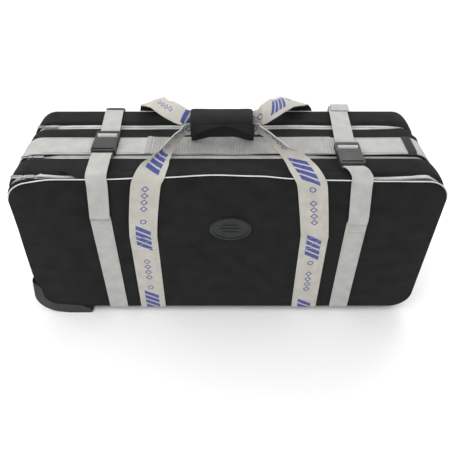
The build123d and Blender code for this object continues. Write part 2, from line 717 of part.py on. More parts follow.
for label, zip_line in (("front", ZIP_FRONT), ("main", ZIP_MAIN), ("back", ZIP_BACK)):
    node(f"zip_slider_{label}", slider(zip_line[0]))
    node(f"zip_pull_{label}", pull(zip_line[0]))

# ---- export -------------------------------------------------------------------------------
os.makedirs("parts", exist_ok=True)
for name, shape in NODES.items():
    export_step(shape, f"parts/{name}.step")
print(len(NODES), "nodes")
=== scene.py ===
import math

import bmesh
import bpy
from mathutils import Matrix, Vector, noise


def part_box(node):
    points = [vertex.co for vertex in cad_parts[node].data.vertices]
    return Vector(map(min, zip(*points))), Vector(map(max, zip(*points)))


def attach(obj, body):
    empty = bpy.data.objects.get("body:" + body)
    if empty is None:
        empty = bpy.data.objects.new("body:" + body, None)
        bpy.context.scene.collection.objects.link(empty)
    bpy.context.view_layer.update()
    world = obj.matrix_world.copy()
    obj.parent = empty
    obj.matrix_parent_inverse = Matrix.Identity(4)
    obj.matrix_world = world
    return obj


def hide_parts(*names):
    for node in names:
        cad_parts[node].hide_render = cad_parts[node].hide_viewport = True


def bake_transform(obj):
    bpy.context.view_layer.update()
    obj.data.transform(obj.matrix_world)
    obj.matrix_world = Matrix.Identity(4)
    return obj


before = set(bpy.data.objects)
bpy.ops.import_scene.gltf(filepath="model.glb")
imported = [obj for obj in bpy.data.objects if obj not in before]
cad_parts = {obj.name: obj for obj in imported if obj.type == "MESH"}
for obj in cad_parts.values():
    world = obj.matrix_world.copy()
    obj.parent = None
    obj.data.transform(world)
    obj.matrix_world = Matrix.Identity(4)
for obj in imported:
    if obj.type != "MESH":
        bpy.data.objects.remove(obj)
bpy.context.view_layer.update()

# ---- sizes in metres; a box of the frame gives those that a box can give --------------------
tub_low, tub_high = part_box("base_tub")
HALF_X = tub_high.x
HALF_Y = tub_high.y
BOTTOM = tub_low.z
FOLD = tub_high.z
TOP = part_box("centre_gusset")[1].z
CORNER_R = 0.046
WALL = 0.005
PANEL = 0.006
PIPING = 0.003
WEB_T = 0.0025
PLAIN_W = 0.0415
HANDLE_W = 0.057
plain_low, plain_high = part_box("front_plain_straps")
PLAIN_X = [plain_low.x + PLAIN_W / 2, plain_high.x - PLAIN_W / 2]
handles_low, handles_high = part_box("front_handle_straps")
HANDLE_X = [handles_low.x + HANDLE_W / 2, handles_high.x - HANDLE_W / 2]
HANDLE_STITCH = handles_high.z
PLAIN_STITCH = [0.298, 0.285]
WELL_X = -0.365
WELL_Y = 0.0835
WELL_Z = 0.069
CROWN = [(-0.40, 0.0), (-0.25, 0.0), (-0.13, 0.0045), (-0.02, 0.0105), (0.06, 0.0080), (0.13, 0.0020),
         (0.20, -0.0015), (0.30, -0.0040), (0.40, -0.0048)]
LEAN_FRONT = 0.005
LEAN_BACK = 0.003
LEAN_RIGHT = 0.011
SLUMP = 0.011
FRONT, BACK = -1, 1
UP = Vector((0, 0, 1))
ALONG_X = Vector((1, 0, 0))


def smooth(t):
    t = min(max(t, 0.0), 1.0)
    return t * t * (3 - 2 * t)


def crown_rise(x):
    """Height of the lid's front edge above its level line."""
    if x <= CROWN[0][0]:
        return CROWN[0][1]
    for (x0, z0), (x1, z1) in zip(CROWN, CROWN[1:]):
        if x <= x1:
            return z0 + (z1 - z0) * smooth((x - x0) / (x1 - x0))
    return CROWN[-1][1]


def crown(p):
    """Where the soft case carries a point of the outline.

    The stuffed front edge stands up in its middle, both ends lean in towards the top and the front
    corner at the left end slumps.
    """
    rise = crown_rise(p.x)
    across = smooth((-0.062 - p.y) / 0.07)
    height = smooth((p.z - 0.28) / 0.109)
    rise *= across * height
    lean = smooth((-0.30 - p.x) / 0.13) * (LEAN_BACK + (LEAN_FRONT - LEAN_BACK) * smooth((0.09 - p.y) / 0.20))
    lean -= smooth((p.x - 0.30) / 0.13) * LEAN_RIGHT * smooth((p.y + 0.125) / 0.10)
    lean *= smooth((p.z - FOLD) / 0.20)
    slump = SLUMP * smooth((-0.325 - p.x) / 0.09) * smooth((p.z - 0.20) / 0.14)
    slump *= smooth((-0.1235 - p.y) / 0.008)
    return Vector((p.x + lean, p.y, p.z + rise - slump))


def wrinkle(a, b, scale, amount, seed):
    return amount * noise.noise(Vector((a * scale, b * scale, seed)))


def fill(keys, step):
    """Values from the first key to the last, through every key, no further apart than step."""
    values = [keys[0]]
    for low, high in zip(keys, keys[1:]):
        count = max(1, math.ceil((high - low) / step))
        values += [low + (high - low) * (k + 1) / count for k in range(count)]
    return values


# ---- camera and light -----------------------------------------------------------------------
scene = bpy.context.scene


def add_object(name, data):
    obj = bpy.data.objects.new(name, data)
    scene.collection.objects.link(obj)
    return obj


camera = add_object("camera", bpy.data.cameras.new("camera"))
camera.location = (-0.0015, -0.8884, 0.9426)
camera.rotation_euler = (math.radians(48.6), 0, 0)
camera.data.lens = 39.754
camera.data.sensor_width = 36
scene.camera = camera


def area_light(name, location, size, power):
    light = bpy.data.lights.new(name, "AREA")
    light.shape = "RECTANGLE"
    light.size, light.size_y = size
    light.energy = power
    obj = add_object(name, light)
    obj.location = location
    obj.rotation_euler = (Vector(location) * -1).to_track_quat("-Z", "Y").to_euler()


area_light("key_light", (-0.5, -1.4, 2.4), (2.2, 1.6), 30)
area_light("back_light", (0.6, 1.7, 2.2), (2.4, 1.2), 30)
area_light("left_light", (-2.2, 0.2, 1.4), (1.4, 1.4), 12)
world = bpy.data.worlds.new("studio")
world.use_nodes = True
world.node_tree.nodes["Background"].inputs["Color"].default_value = (1, 1, 1, 1)
world.node_tree.nodes["Background"].inputs["Strength"].default_value = 0.80
scene.world = world
scene.view_settings.view_transform = "Standard"


# ---- materials ------------------------------------------------------------------------------
def linear(colour):
    """Linear colour from sRGB numbers between 0 and 255."""
    return tuple(((c / 255 + 0.055) / 1.055) ** 2.4 if c > 10 else c / 3295 for c in colour) + (1.0,)


class Finish:
    """One procedural material being built."""

    def __init__(self, name, roughness, sheen=0.0, metallic=0.0, gloss=0.5):
        self.material = bpy.data.materials.new(name)
        self.material.use_nodes = True
        self.tree = self.material.node_tree
        self.shader = self.tree.nodes["Principled BSDF"]
        self.shader.inputs["Roughness"].default_value = roughness
        self.shader.inputs["Metallic"].default_value = metallic
        self.shader.inputs["Sheen Weight"].default_value = sheen
        self.shader.inputs["Specular IOR Level"].default_value = gloss
        coordinates = self.tree.nodes.new("ShaderNodeTexCoord")
        self.place = coordinates.outputs["Object"]
        parts = self.tree.nodes.new("ShaderNodeSeparateXYZ")
        self.tree.links.new(coordinates.outputs["UV"], parts.inputs[0])
        self.u, self.v = parts.outputs["X"], parts.outputs["Y"]

    def put(self, value, socket):
        if isinstance(value, bpy.types.NodeSocket):
            self.tree.links.new(value, socket)
        else:
            socket.default_value = value

    def math(self, operation, a, b=0.0):
        step = self.tree.nodes.new("ShaderNodeMath")
        step.operation = operation
        self.put(a, step.inputs[0])
        self.put(b, step.inputs[1])
        return step.outputs[0]

    def times(self, a, b):
        return self.math("MULTIPLY", a, b)

    def plus(self, a, b):
        return self.math("ADD", a, b)

    def size_of(self, value):
        return self.math("ABSOLUTE", value)

    def waves(self, value, pitch):
        """Sine of a length, once every pitch."""
        return self.math("SINE", self.times(value, 2 * math.pi / pitch))

    def noise(self, scale, detail=3.0):
        cloud = self.tree.nodes.new("ShaderNodeTexNoise")
        self.put(self.place, cloud.inputs["Vector"])
        cloud.inputs["Scale"].default_value = scale
        cloud.inputs["Detail"].default_value = detail
        return cloud.outputs["Fac"]

    def mix(self, factor, a, b):
        step = self.tree.nodes.new("ShaderNodeMix")
        step.data_type = "RGBA"
        self.put(factor, step.inputs[0])
        self.put(a, step.inputs[6])
        self.put(b, step.inputs[7])
        return step.outputs[2]

    def colour(self, value):
        self.put(value, self.shader.inputs["Base Color"])

    def shades(self, dark, light, scale=30.0):
        """Colour that drifts between two shades."""
        spread = self.times(self.math("SUBTRACT", self.noise(scale), 0.3), 2.5)
        clamp = self.math("MAXIMUM", self.math("MINIMUM", spread, 1.0), 0.0)
        return self.mix(clamp, linear(dark), linear(light))

    def rough(self, low, high, scale):
        spread = self.times(self.noise(scale), high - low)
        self.put(self.plus(spread, low), self.shader.inputs["Roughness"])

    def bump(self, height, distance):
        step = self.tree.nodes.new("ShaderNodeBump")
        step.inputs["Distance"].default_value = distance
        self.put(height, step.inputs["Height"])
        self.put(step.outputs[0], self.shader.inputs["Normal"])


def woven(name, dark, light, pitch, relief, roughness=0.85, sheen=0.02):
    """Plain weave: crossed threads that follow the cloth."""
    made = Finish(name, roughness, sheen, gloss=0.12)
    over = made.times(made.waves(made.u, pitch), made.waves(made.v, pitch))
    made.colour(made.shades(dark, light))
    fuzz = made.times(made.noise(900.0), 0.6)
    made.bump(made.plus(over, fuzz), relief)
    made.rough(roughness - 0.08, roughness + 0.08, 60.0)
    return made


def rib_height(made, rib_pitch):
    """Cross ribs with fine yarns along the webbing."""
    ribs = made.size_of(made.waves(made.u, rib_pitch * 2))
    yarns = made.times(made.waves(made.v, 0.0018), 0.35)
    return made.plus(ribs, yarns)


def webbing(name, dark, light, rib_pitch=0.0022, relief=0.0004):
    made = Finish(name, 0.7, 0.05, gloss=0.25)
    edge = made.size_of(made.waves(made.v, 0.0105))
    shade = made.shades(dark, light, 45.0)
    made.colour(made.mix(made.times(edge, 0.12), shade, linear(dark)))
    made.bump(rib_height(made, rib_pitch), relief)
    return made


def within(made, value, low, high):
    """1 where low < value < high, otherwise 0."""
    return made.times(made.math("GREATER_THAN", value, low), made.math("LESS_THAN", value, high))


MOTIF = 0.2              # length of the printed repeat
DIAMOND_PITCH = 0.0165


def patterned():
    """Off-white webbing printed with a plain repeat: slanted bars, a ring and a row of diamonds."""
    made = Finish("printed_webbing", 0.65, 0.05, gloss=0.25)
    repeat = made.times(made.math("FRACT", made.math("DIVIDE", made.u, MOTIF)), MOTIF)
    side = made.size_of(made.v)
    slant = made.plus(repeat, made.times(made.v, 0.55))
    stripe = made.math("LESS_THAN", made.math("FRACT", made.math("DIVIDE", slant, 0.0152)), 0.72)
    bars = made.times(within(made, slant, 0.012, 0.073), made.math("LESS_THAN", side, 0.0155))
    bars = made.times(bars, stripe)
    away = made.math("SUBTRACT", repeat, 0.090)
    squares = made.plus(made.times(away, away), made.times(made.v, made.v))
    ring = within(made, made.math("SQRT", squares), 0.0042, 0.0064)
    cell = made.math("SUBTRACT", made.math("FRACT", made.math("DIVIDE", repeat, DIAMOND_PITCH)), 0.5)
    reach = made.plus(made.times(made.size_of(cell), DIAMOND_PITCH), side)
    row = within(made, repeat, 0.1155, 0.1815)
    diamonds = made.times(within(made, reach, 0.0048, 0.0078), row)
    ink = made.math("MINIMUM", made.plus(made.plus(bars, ring), diamonds), 1.0)
    worn = made.times(ink, made.plus(0.72, made.times(made.noise(260.0), 0.4)))
    base = made.shades((176, 173, 164), (190, 188, 180), 45.0)
    made.colour(made.mix(made.math("MINIMUM", worn, 1.0), base, linear((52, 62, 140))))
    made.bump(rib_height(made, 0.0020), 0.0003)
    return made


def moulded(name, dark, light, roughness, grain=0.00012, scale=1400.0):
    made = Finish(name, roughness, gloss=0.3)
    made.colour(made.shades(dark, light, 25.0))
    made.rough(roughness - 0.1, roughness + 0.12, 90.0)
    made.bump(made.noise(scale, 2.0), grain)
    return made


def tape_finish():
    made = Finish("zip_tape_cloth", 0.75, 0.1)
    twill = made.waves(made.plus(made.u, made.v), 0.0016)
    made.colour(made.shades((186, 190, 187), (212, 214, 211), 40.0))
    made.bump(twill, 0.0002)
    return made


def brushed(name, colour, roughness):
    made = Finish(name, roughness, metallic=1.0)
    made.colour(made.shades(tuple(c * 0.85 for c in colour), colour, 60.0))
    made.rough(roughness - 0.08, roughness + 0.15, 300.0)
    made.bump(made.noise(700.0, 1.0), 0.00005)
    return made


FINISHES = {
    "black_fabric": woven("black_cloth", (22, 24, 23), (33, 34, 33), 0.0016, 0.00025),
    "grip_fabric": woven("grip_cloth", (38, 38, 38), (50, 49, 49), 0.0011, 0.0002, 0.9),
    "lining": woven("lining_cloth", (38, 40, 42), (52, 54, 57), 0.0013, 0.00015, 0.7),
    "grey_webbing": webbing("pale_webbing", (170, 170, 167), (184, 184, 181)),
    "patterned_webbing": patterned(),
    "black_webbing": webbing("dark_webbing", (26, 27, 27), (40, 41, 41)),
    "piping": woven("piping_cloth", (205, 208, 205), (222, 224, 221), 0.0012, 0.00015, 0.5),
    "zip_tape": tape_finish(),
    "zip_metal": brushed("zip_plating", (196, 198, 200), 0.32),
    "dark_plastic": moulded("guard_plastic", (38, 42, 41), (52, 56, 54), 0.52),
    "buckle_plastic": moulded("acetal_plastic", (46, 48, 47), (62, 64, 62), 0.45),
    "board": moulded("stiff_board", (58, 60, 61), (74, 76, 77), 0.8, 0.0003, 300.0),
    "badge_rubber": moulded("badge_pvc", (26, 28, 28), (40, 42, 42), 0.5, 0.0001),
    "tyre_rubber": moulded("wheel_rubber", (22, 22, 23), (34, 34, 35), 0.78, 0.0003, 500.0),
    "steel": brushed("screw_steel", (170, 172, 175), 0.35),
}
RIB_PITCH = 0.0058
WIDE_WEB = webbing("ribbed_webbing", (172, 171, 168), (186, 185, 182), RIB_PITCH, 0.0012)


# ---- mesh building --------------------------------------------------------------------------
class Shape:
    """Vertices and faces of one piece, each vertex with its place along and across the cloth."""

    def __init__(self):
        self.points = []
        self.web = []
        self.faces = []

    def grid(self, rows, web, slot=0, keep=None):
        """Quads through rows of points; returns the vertex numbers and the cells that were kept."""
        first = len(self.points)
        width = len(rows[0])
        for row, web_row in zip(rows, web):
            self.points += row
            self.web += web_row
        cells = []
        for i in range(len(rows) - 1):
            for j in range(width - 1):
                corners = [first + i * width + j, first + i * width + j + 1,
                           first + (i + 1) * width + j + 1, first + (i + 1) * width + j]
                centre = sum((self.points[c] for c in corners), Vector()) / 4
                if keep is None or keep(centre):
                    cells.append(corners)
                    self.faces.append((corners, slot, True))
        return cells

    def slab(self, outer, inner, web, keep=None, inside=1):
        """Closed sheet between an outer and an inner grid; inside is the inner face's material."""
        offset = len(outer) * len(outer[0])
        cells = self.grid(outer, web, 0, keep)
        for row, web_row in zip(inner, web):
            self.points += row
            self.web += web_row
        edges = {}
        for corners in cells:
            self.faces.append(([c + offset for c in reversed(corners)], inside, True))
            for a, b in zip(corners, corners[1:] + corners[:1]):
                key = (min(a, b), max(a, b))
                edges[key] = edges.get(key, 0) + 1
        for (a, b), count in edges.items():
            if count == 1:
                self.faces.append(([a, b, b + offset, a + offset], 0, False))

    def block(self, centre, along, across, size):
        """Small box with its own directions, for teeth and threads."""
        along = along.normalized()
        normal = along.cross(across).normalized()
        across = normal.cross(along)
        half = [axis * length / 2 for axis, length in zip((along, across, normal), size)]
        first = len(self.points)
        for k in (-1, 1):
            for i, j in ((-1, -1), (1, -1), (1, 1), (-1, 1)):
                shrink = 1.0 if k < 0 else 0.72
                self.points.append(centre + half[0] * i * shrink + half[1] * j * shrink + half[2] * k)
                self.web.append((i * size[0], j * size[1]))
        for corners in ((3, 2, 1, 0), (4, 5, 6, 7), (0, 1, 5, 4), (1, 2, 6, 5), (2, 3, 7, 6), (3, 0, 4, 7)):
            self.faces.append(([first + c for c in corners], 0, False))

    def tube(self, path, radius, sides=10):
        """Round cord along points."""
        rows = []
        web = []
        length = 0.0
        for k, point in enumerate(path):
            before = path[max(k - 1, 0)]
            after = path[min(k + 1, len(path) - 1)]
            if k:
                length += (point - before).length
            along = (after - before).normalized()
            side = along.cross(Vector((0, 1, 0))).normalized()
            other = along.cross(side)
            turns = [2 * math.pi * s / sides for s in range(sides + 1)]
            rows.append([point + (side * math.cos(t) + other * math.sin(t)) * radius for t in turns])
            web.append([(length, t * radius) for t in turns])
        self.grid(rows, web)
        for row, order in ((0, 1), (len(rows) - 1, -1)):
            first = len(self.points)
            self.points += rows[row][:-1]
            self.web += web[row][:-1]
            self.faces.append(([first + s for s in range(sides)][::order], 0, False))

    def build(self, name, slot, body, replaces=(), inside=None, finish=None):
        """Makes the object, gives it its materials and lets it ride its CAD body."""
        mesh = bpy.data.meshes.new(name)
        mesh.from_pydata(self.points, [], [corners for corners, _, _ in self.faces])
        layer = mesh.uv_layers.new(name="web")
        for loop in mesh.loops:
            layer.data[loop.index].uv = self.web[loop.vertex_index]
        for polygon, (_, material, is_smooth) in zip(mesh.polygons, self.faces):
            polygon.material_index = material
            polygon.use_smooth = is_smooth
        made = bmesh.new()
        made.from_mesh(mesh)
        bmesh.ops.remove_doubles(made, verts=made.verts, dist=0.000002)
        bmesh.ops.recalc_face_normals(made, faces=made.faces)
        for edge in made.edges:
            if not all(face.smooth for face in edge.link_faces):
                edge.smooth = False
        made.to_mesh(mesh)
        made.free()
        mesh.materials.append((finish or FINISHES[slot]).material)
        mesh.materials.append(FINISHES[inside or slot].material)
        obj = add_object(name, mesh)
        if body:
            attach(obj, body)
        if replaces:
            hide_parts(*replaces)
        return obj


def stitches(shape, path, normal, pitch=0.0058, length=0.0040, width=0.0009):
    """Row of thread stitches lying on a surface with this normal."""
    for start, end in zip(path, path[1:]):
        count = max(1, round((end - start).length / pitch))
        along = (end - start).normalized()
        for k in range(count):
            centre = start.lerp(end, (k + 0.5) / count)
            shape.block(centre, along, normal.cross(along), (length, width, width * 0.8))


# ---- the outline ----------------------------------------------------------------------------
def outline_path(upper, step=0.008):
    """Points and outward directions round the case, from the left fold to the right fold."""
    side_z = TOP - CORNER_R if upper else BOTTOM + CORNER_R
    edge_z = TOP if upper else BOTTOM
    turn = 1 if upper else -1
    keys = [FOLD, side_z] if upper else [side_z, WELL_Z, FOLD]
    rise = fill(keys, step)
    if not upper:
        rise.reverse()
    flat_keys = [-HALF_X + CORNER_R, WELL_X, HALF_X - CORNER_R]
    flat = fill(flat_keys, step)
    stations = [(-HALF_X, z, -1.0, 0.0) for z in rise]
    for angle in [math.radians(180 - 90 * k / 10) for k in range(1, 10)]:
        n_x, n_z = math.cos(angle), math.sin(angle) * turn
        stations.append((-HALF_X + CORNER_R + CORNER_R * n_x, side_z + CORNER_R * n_z, n_x, n_z))
    stations += [(x, edge_z, 0.0, float(turn)) for x in flat]
    stations += [(-x, z, -n_x, n_z) for x, z, n_x, n_z in reversed(stations[:len(rise) + 9])]
    path = []
    length = 0.0
    for k, (x, z, n_x, n_z) in enumerate(stations):
        if k:
            length += math.hypot(x - stations[k - 1][0], z - stations[k - 1][1])
        path.append((Vector((x, 0, z)), Vector((n_x, 0, n_z)), length))
    return path


UPPER = outline_path(True)
LOWER = outline_path(False)


def sheet(firsts, seconds, place):
    """Outer grid, inner grid and web of a cloth; place gives all three at one crossing."""
    rows = [[place(a, b) for b in seconds] for a in firsts]
    return [[[cell[k] for cell in row] for row in rows] for k in range(3)]


def band(path, ys, height, edge=None):
    """Rows of points round the outline; height lifts a point off the fabric line."""
    def place(station, k):
        point, normal, s = station
        t = k / (len(ys) - 1)
        moved = ys[k] + (edge(s, point, t) if edge else 0.0)
        return crown(point + Vector((0, moved, 0)) + normal * height(s, moved, t)), None, (s, moved)

    rows, _, web = sheet(path, range(len(ys)), place)
    return rows, web


def columns(low, high, step=0.006):
    count = max(2, math.ceil((high - low) / step))
    return [low + (high - low) * k / count for k in range(count + 1)]


def soft_columns(low, high):
    """Columns that are close together next to both seams."""
    near_low = [low, low + 0.0012, low + 0.003]
    near_high = [high - 0.003, high - 0.0012, high]
    return near_low + columns(low + 0.006, high - 0.006) + near_high


def puffed(low, high, amount, seed, tuck=0.0016):
    """Height of padded cloth between two seams."""
    def height(s, y, t):
        near = min(y - low, high - y)
        edge = smooth(near / 0.005)
        swell = amount * math.sin(math.pi * min(max(t, 0), 1)) ** 0.7
        folds = swell + wrinkle(s, y, 14, 0.0011, seed) + wrinkle(s, y, 40, 0.0004, seed)
        return -tuck * (1 - edge) + edge * folds
    return height


def node_y(name):
    low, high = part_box(name)
    return low.y, high.y


def ripple(seed, amount, low_side, high_side, close=0.0):
    """Wavy edges where the cloth beside a zip gives; at the right end they close over the zip."""
    def move(s, point, t):
        wave = amount * noise.noise(Vector((s * 9, 3.1, seed))) * (1 if point.z > 0.2 else 0.3)
        shut = close * smooth((point.x - 0.355) / 0.05)
        return (wave - shut) * low_side * (1 - t) + (wave + shut) * high_side * t
    return move


def gusset(node, body, amount, seed, edge):
    """One hoop of stuffed cloth between two seams."""
    low, high = node_y(node)
    ys = soft_columns(low, high)
    outer, web = band(UPPER, ys, puffed(low, high, amount, seed), edge)
    inner, _ = band(UPPER, ys, lambda s, y, t: -WALL, edge)
    shape = Shape()
    shape.slab(outer, inner, web)
    shape.build(node + "_cloth", "black_fabric", body, [node], "lining")


ZIP_WAVE = 0.0034      # how far the seams beside the two rear zips wander
ZIP_CLOSE = 0.0062     # how far those seams close over the zip at the right end
gusset("centre_gusset", "case", 0.0006, 1.0, ripple(2.0, ZIP_WAVE, 0.0, 1.0, ZIP_CLOSE))
gusset("front_gusset", "front_lid", 0.0022, 3.0, ripple(4.0, 0.002, 0.3, 0.6))
gusset("back_gusset", "back_cover", 0.0020, 5.0, ripple(6.0, ZIP_WAVE, 1.0, 0.0, ZIP_CLOSE))


# ---- zips -----------------------------------------------------------------------------------
TOOTH_PITCH = 0.0034
TOOTH = (0.0021, 0.0022, 0.0013)
TAPE_T = 0.0011
FLAP_T = 0.0013


def tape_lift(node, p):
    """How far the tape bulges out of its channel away from the sliders."""
    if p.z < TOP - 0.03:
        return 0.0
    if "front" in node:
        left = smooth((p.x + 0.366) / 0.010) * min(max((-0.312 - p.x) / 0.048, 0.0), 1.0)
        right = smooth((p.x - 0.295) / 0.09) * smooth((0.405 - p.x) / 0.02)
        return 0.0042 * max(left, right) if "lid" in node else 0.0
    inner = smooth((p.x + 0.362) / 0.03) * smooth((0.37 - p.x) / 0.06)
    if "main" in node:
        return 0.0030 * inner * (1 - 0.8 * smooth((p.x - 0.16) / 0.05))
    return 0.0012 * inner


def walk(path, pitch, offset):
    """Evenly spaced places along the outline."""
    total = path[-1][2]
    count = int(total / pitch)
    k = 0
    for n in range(count):
        s = (n + offset) * pitch
        while k < len(path) - 2 and path[k + 1][2] < s:
            k += 1
        a, b = path[k], path[k + 1]
        t = (s - a[2]) / max(b[2] - a[2], 1e-9)
        yield a[0].lerp(b[0], min(t, 1)), a[1].lerp(b[1], min(t, 1)).normalized(), (b[0] - a[0]).normalized()


def zip_half(node, side, body):
    """Tape with its row of coil teeth along the edge that meets the other half."""
    low, high = node_y(node)
    near, far = (low, high) if side > 0 else (high, low)
    ys = [near, near + side * 0.0025, near + side * 0.004, (near + side * 0.004 + far) / 2, far]
    shape = Shape()
    outer, web = band(UPPER, ys, lambda s, y, t: -WALL)
    inner, _ = band(UPPER, ys, lambda s, y, t: -WALL - TAPE_T)
    for row, low_row in zip(outer, inner):
        for point, low_point in zip(row, low_row):
            lift = tape_lift(node, point)
            point.z += lift
            low_point.z += lift
    shape.slab(outer, inner, web, inside=0)
    shape.build(node + "_cloth", "zip_tape", body, [node])
    teeth = Shape()
    for point, normal, along in walk(UPPER, TOOTH_PITCH, 0.25 if side > 0 else 0.75):
        centre = point + normal * (-WALL + 0.0006) + Vector((0, near + side * 0.0011, 0))
        centre = crown(centre)
        centre.z += tape_lift(node, centre)
        teeth.block(centre, Vector((0, side, 0)), along, TOOTH)
    teeth.build(node.replace("tape", "teeth"), "zip_tape", body)


for zip_node, zip_side, zip_body in (
        ("zip_front_tape_cover", FRONT, "front_cover"), ("zip_front_tape_lid", BACK, "front_lid"),
        ("zip_main_tape_lid", FRONT, "front_lid"), ("zip_main_tape_case", BACK, "case"),
        ("zip_back_tape_case", FRONT, "case"), ("zip_back_tape_cover", BACK, "back_cover")):
    zip_half(zip_node, zip_side, zip_body)

flap_low, flap_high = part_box("zip_front_flap")


def front_flap():
    """Rain flap: sewn behind the front zip, its free edge curving back at both ends."""
    def place(x, t):
        from_end = min(x - flap_low.x, flap_high.x - x)
        reach = smooth(from_end / 0.05)
        front = flap_high.y - 0.002 + (flap_low.y - 0.0008 - flap_high.y + 0.002) * reach
        y = flap_high.y + (front - flap_high.y) * t
        arch = 0.0021 + 0.0012 * math.sin(math.pi * t)
        lift = arch + wrinkle(x, y, 30, 0.0005, 8.0) - 0.0012 * t * t * reach
        return crown(Vector((x, y, TOP + lift))), crown(Vector((x, y, TOP + lift - FLAP_T))), (x, y)

    shape = Shape()
    shape.slab(*sheet(fill([flap_low.x, flap_high.x], 0.006), [k / 6 for k in range(7)], place), inside=0)
    shape.build("zip_front_flap_cloth", "black_fabric", "front_lid", ["zip_front_flap"])
    threads = Shape()
    xs = fill([flap_low.x + 0.01, flap_high.x - 0.01], 0.03)
    stitches(threads, [crown(Vector((x, flap_high.y - 0.003, TOP + 0.0032))) for x in xs], UP)
    threads.build("flap_stitches", "black_webbing", "front_lid")


front_flap()


# ---- front and back panels ------------------------------------------------------------------
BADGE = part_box("badge")
EDGE = HALF_X - PIPING
SIDE = abs(WELL_X)     # the columns of a panel are straight between -SIDE and SIDE
SEWN_MARGIN = 0.001
BADGE_MARGIN = 0.004
PANEL_SWELL = 0.0065   # the furthest that simulated cloth moves
CLOTH_STEPS = 24


def half_width(z, inset=PIPING):
    over = max(z - (TOP - CORNER_R), (BOTTOM + CORNER_R) - z, 0.0)
    radius = CORNER_R - inset
    return HALF_X - CORNER_R + math.sqrt(max(radius * radius - over * over, 0.0))


def panel_rows(step):
    radius = CORNER_R - PIPING
    arc = [radius * math.sin(math.radians(90 * k / 9)) for k in range(1, 10)]
    low = [BOTTOM + CORNER_R - a for a in reversed(arc)]
    high = [TOP - CORNER_R + a for a in arc]
    return low + fill([BOTTOM + CORNER_R, WELL_Z, FOLD, TOP - CORNER_R], step) + high


def strap_keys():
    keys = []
    for xs, width in ((PLAIN_X, PLAIN_W), (HANDLE_X, HANDLE_W)):
        for x in xs:
            keys += [x - width / 2, x + width / 2]
    return sorted(keys)


PANEL_STEP = 0.0065
PANEL_ROWS = panel_rows(PANEL_STEP)
PANEL_COLUMNS = fill([-EDGE, -SIDE] + strap_keys() + [SIDE, EDGE], PANEL_STEP)


def column_x(x, z):
    """Columns close up towards the rounded corners."""
    if abs(x) <= SIDE:
        return x
    squeeze = (half_width(z) - SIDE) / (EDGE - SIDE)
    return math.copysign(SIDE + (abs(x) - SIDE) * squeeze, x)


def held_down(x, z):
    """Where webbing or the badge is sewn through the panel."""
    for xs, width in ((PLAIN_X, PLAIN_W), (HANDLE_X, HANDLE_W)):
        if any(abs(x - strap_x) < width / 2 + SEWN_MARGIN for strap_x in xs):
            return True
    badge_low, badge_high = BADGE
    across = (x - (badge_low.x + badge_high.x) / 2) / ((badge_high.x - badge_low.x) / 2 + BADGE_MARGIN)
    along = (z - (badge_low.z + badge_high.z) / 2) / ((badge_high.z - badge_low.z) / 2 + BADGE_MARGIN)
    return across * across + along * along < 1


def settle(rows, pinned, most):
    """Lets the panel's cloth swell by simulation; pinned points stay. Returns the moved rows."""
    width = len(rows[0])
    mesh = bpy.data.meshes.new("panel_trial")
    faces = []
    for i in range(len(rows) - 1):
        for j in range(width - 1):
            a = i * width + j
            faces.append((a, a + 1, a + width + 1, a + width))
    mesh.from_pydata([p for row in rows for p in row], [], faces)
    trial = add_object("panel_trial", mesh)
    group = trial.vertex_groups.new(name="pinned")
    group.add([k for k, fixed in enumerate(pinned) if fixed], 1.0, "REPLACE")
    cloth = trial.modifiers.new("swell", "CLOTH")
    cloth.settings.quality = 6
    cloth.settings.mass = 0.25
    cloth.settings.tension_stiffness = 12
    cloth.settings.compression_stiffness = 12
    cloth.settings.shear_stiffness = 6
    cloth.settings.bending_stiffness = 0.6
    cloth.settings.vertex_group_mass = "pinned"
    cloth.settings.effector_weights.gravity = 0
    cloth.settings.use_pressure = True
    cloth.settings.uniform_pressure_force = 4
    cloth.settings.shrink_min = -0.012
    for step in range(1, CLOTH_STEPS + 1):
        scene.frame_set(step)
    settled = trial.evaluated_get(bpy.context.evaluated_depsgraph_get())
    moved = [v.co.copy() for v in settled.data.vertices]
    bpy.data.objects.remove(trial)
    scene.frame_set(1)
    start = [p for row in rows for p in row]
    largest = max((a - b).length for a, b in zip(start, moved))
    share = min(1.0, most / max(largest, 1e-6))
    result = [a.lerp(b, share) for a, b in zip(start, moved)]
    for k, point in enumerate(result):
        point.y = min(point.y, start[k].y + 0.0004)
    return [result[i * width:(i + 1) * width] for i in range(len(rows))]


def panel_grid():
    """Outer face of the front panel, from the bottom seam to the top seam."""
    rows, web, pinned = [], [], []
    last = len(PANEL_ROWS) - 1
    for i, z in enumerate(PANEL_ROWS):
        xs = [column_x(x, z) for x in PANEL_COLUMNS]
        row = []
        for j, x in enumerate(xs):
            fixed = i in (0, last) or j in (0, len(xs) - 1) or held_down(x, z)
            pinned.append(fixed)
            swell = 0.0 if fixed else 0.0006 + abs(wrinkle(x, z, 9, 0.0016, 12.0))
            row.append(Vector((x, -HALF_Y - swell, z)))
        rows.append(row)
        web.append([(x, z) for x in xs])
    rows = settle(rows, pinned, PANEL_SWELL)
    return rows, web


panel_outer, panel_web = panel_grid()
fold_row = min(range(len(PANEL_ROWS)), key=lambda k: abs(PANEL_ROWS[k] - FOLD))


def panel_part(side, rows):
    """Outer and inner grid of one end of a panel, at the front or mirrored to the back."""
    outer, inner = [], []
    for i in rows:
        out_row = [Vector((p.x, -side * p.y, p.z)) for p in panel_outer[i]]
        in_row = [Vector((p.x, side * (HALF_Y - PANEL), PANEL_ROWS[i])) for p in panel_outer[i]]
        outer.append([crown(p) for p in out_row])
        inner.append([crown(p) for p in in_row])
    return outer, inner, [panel_web[i] for i in rows]


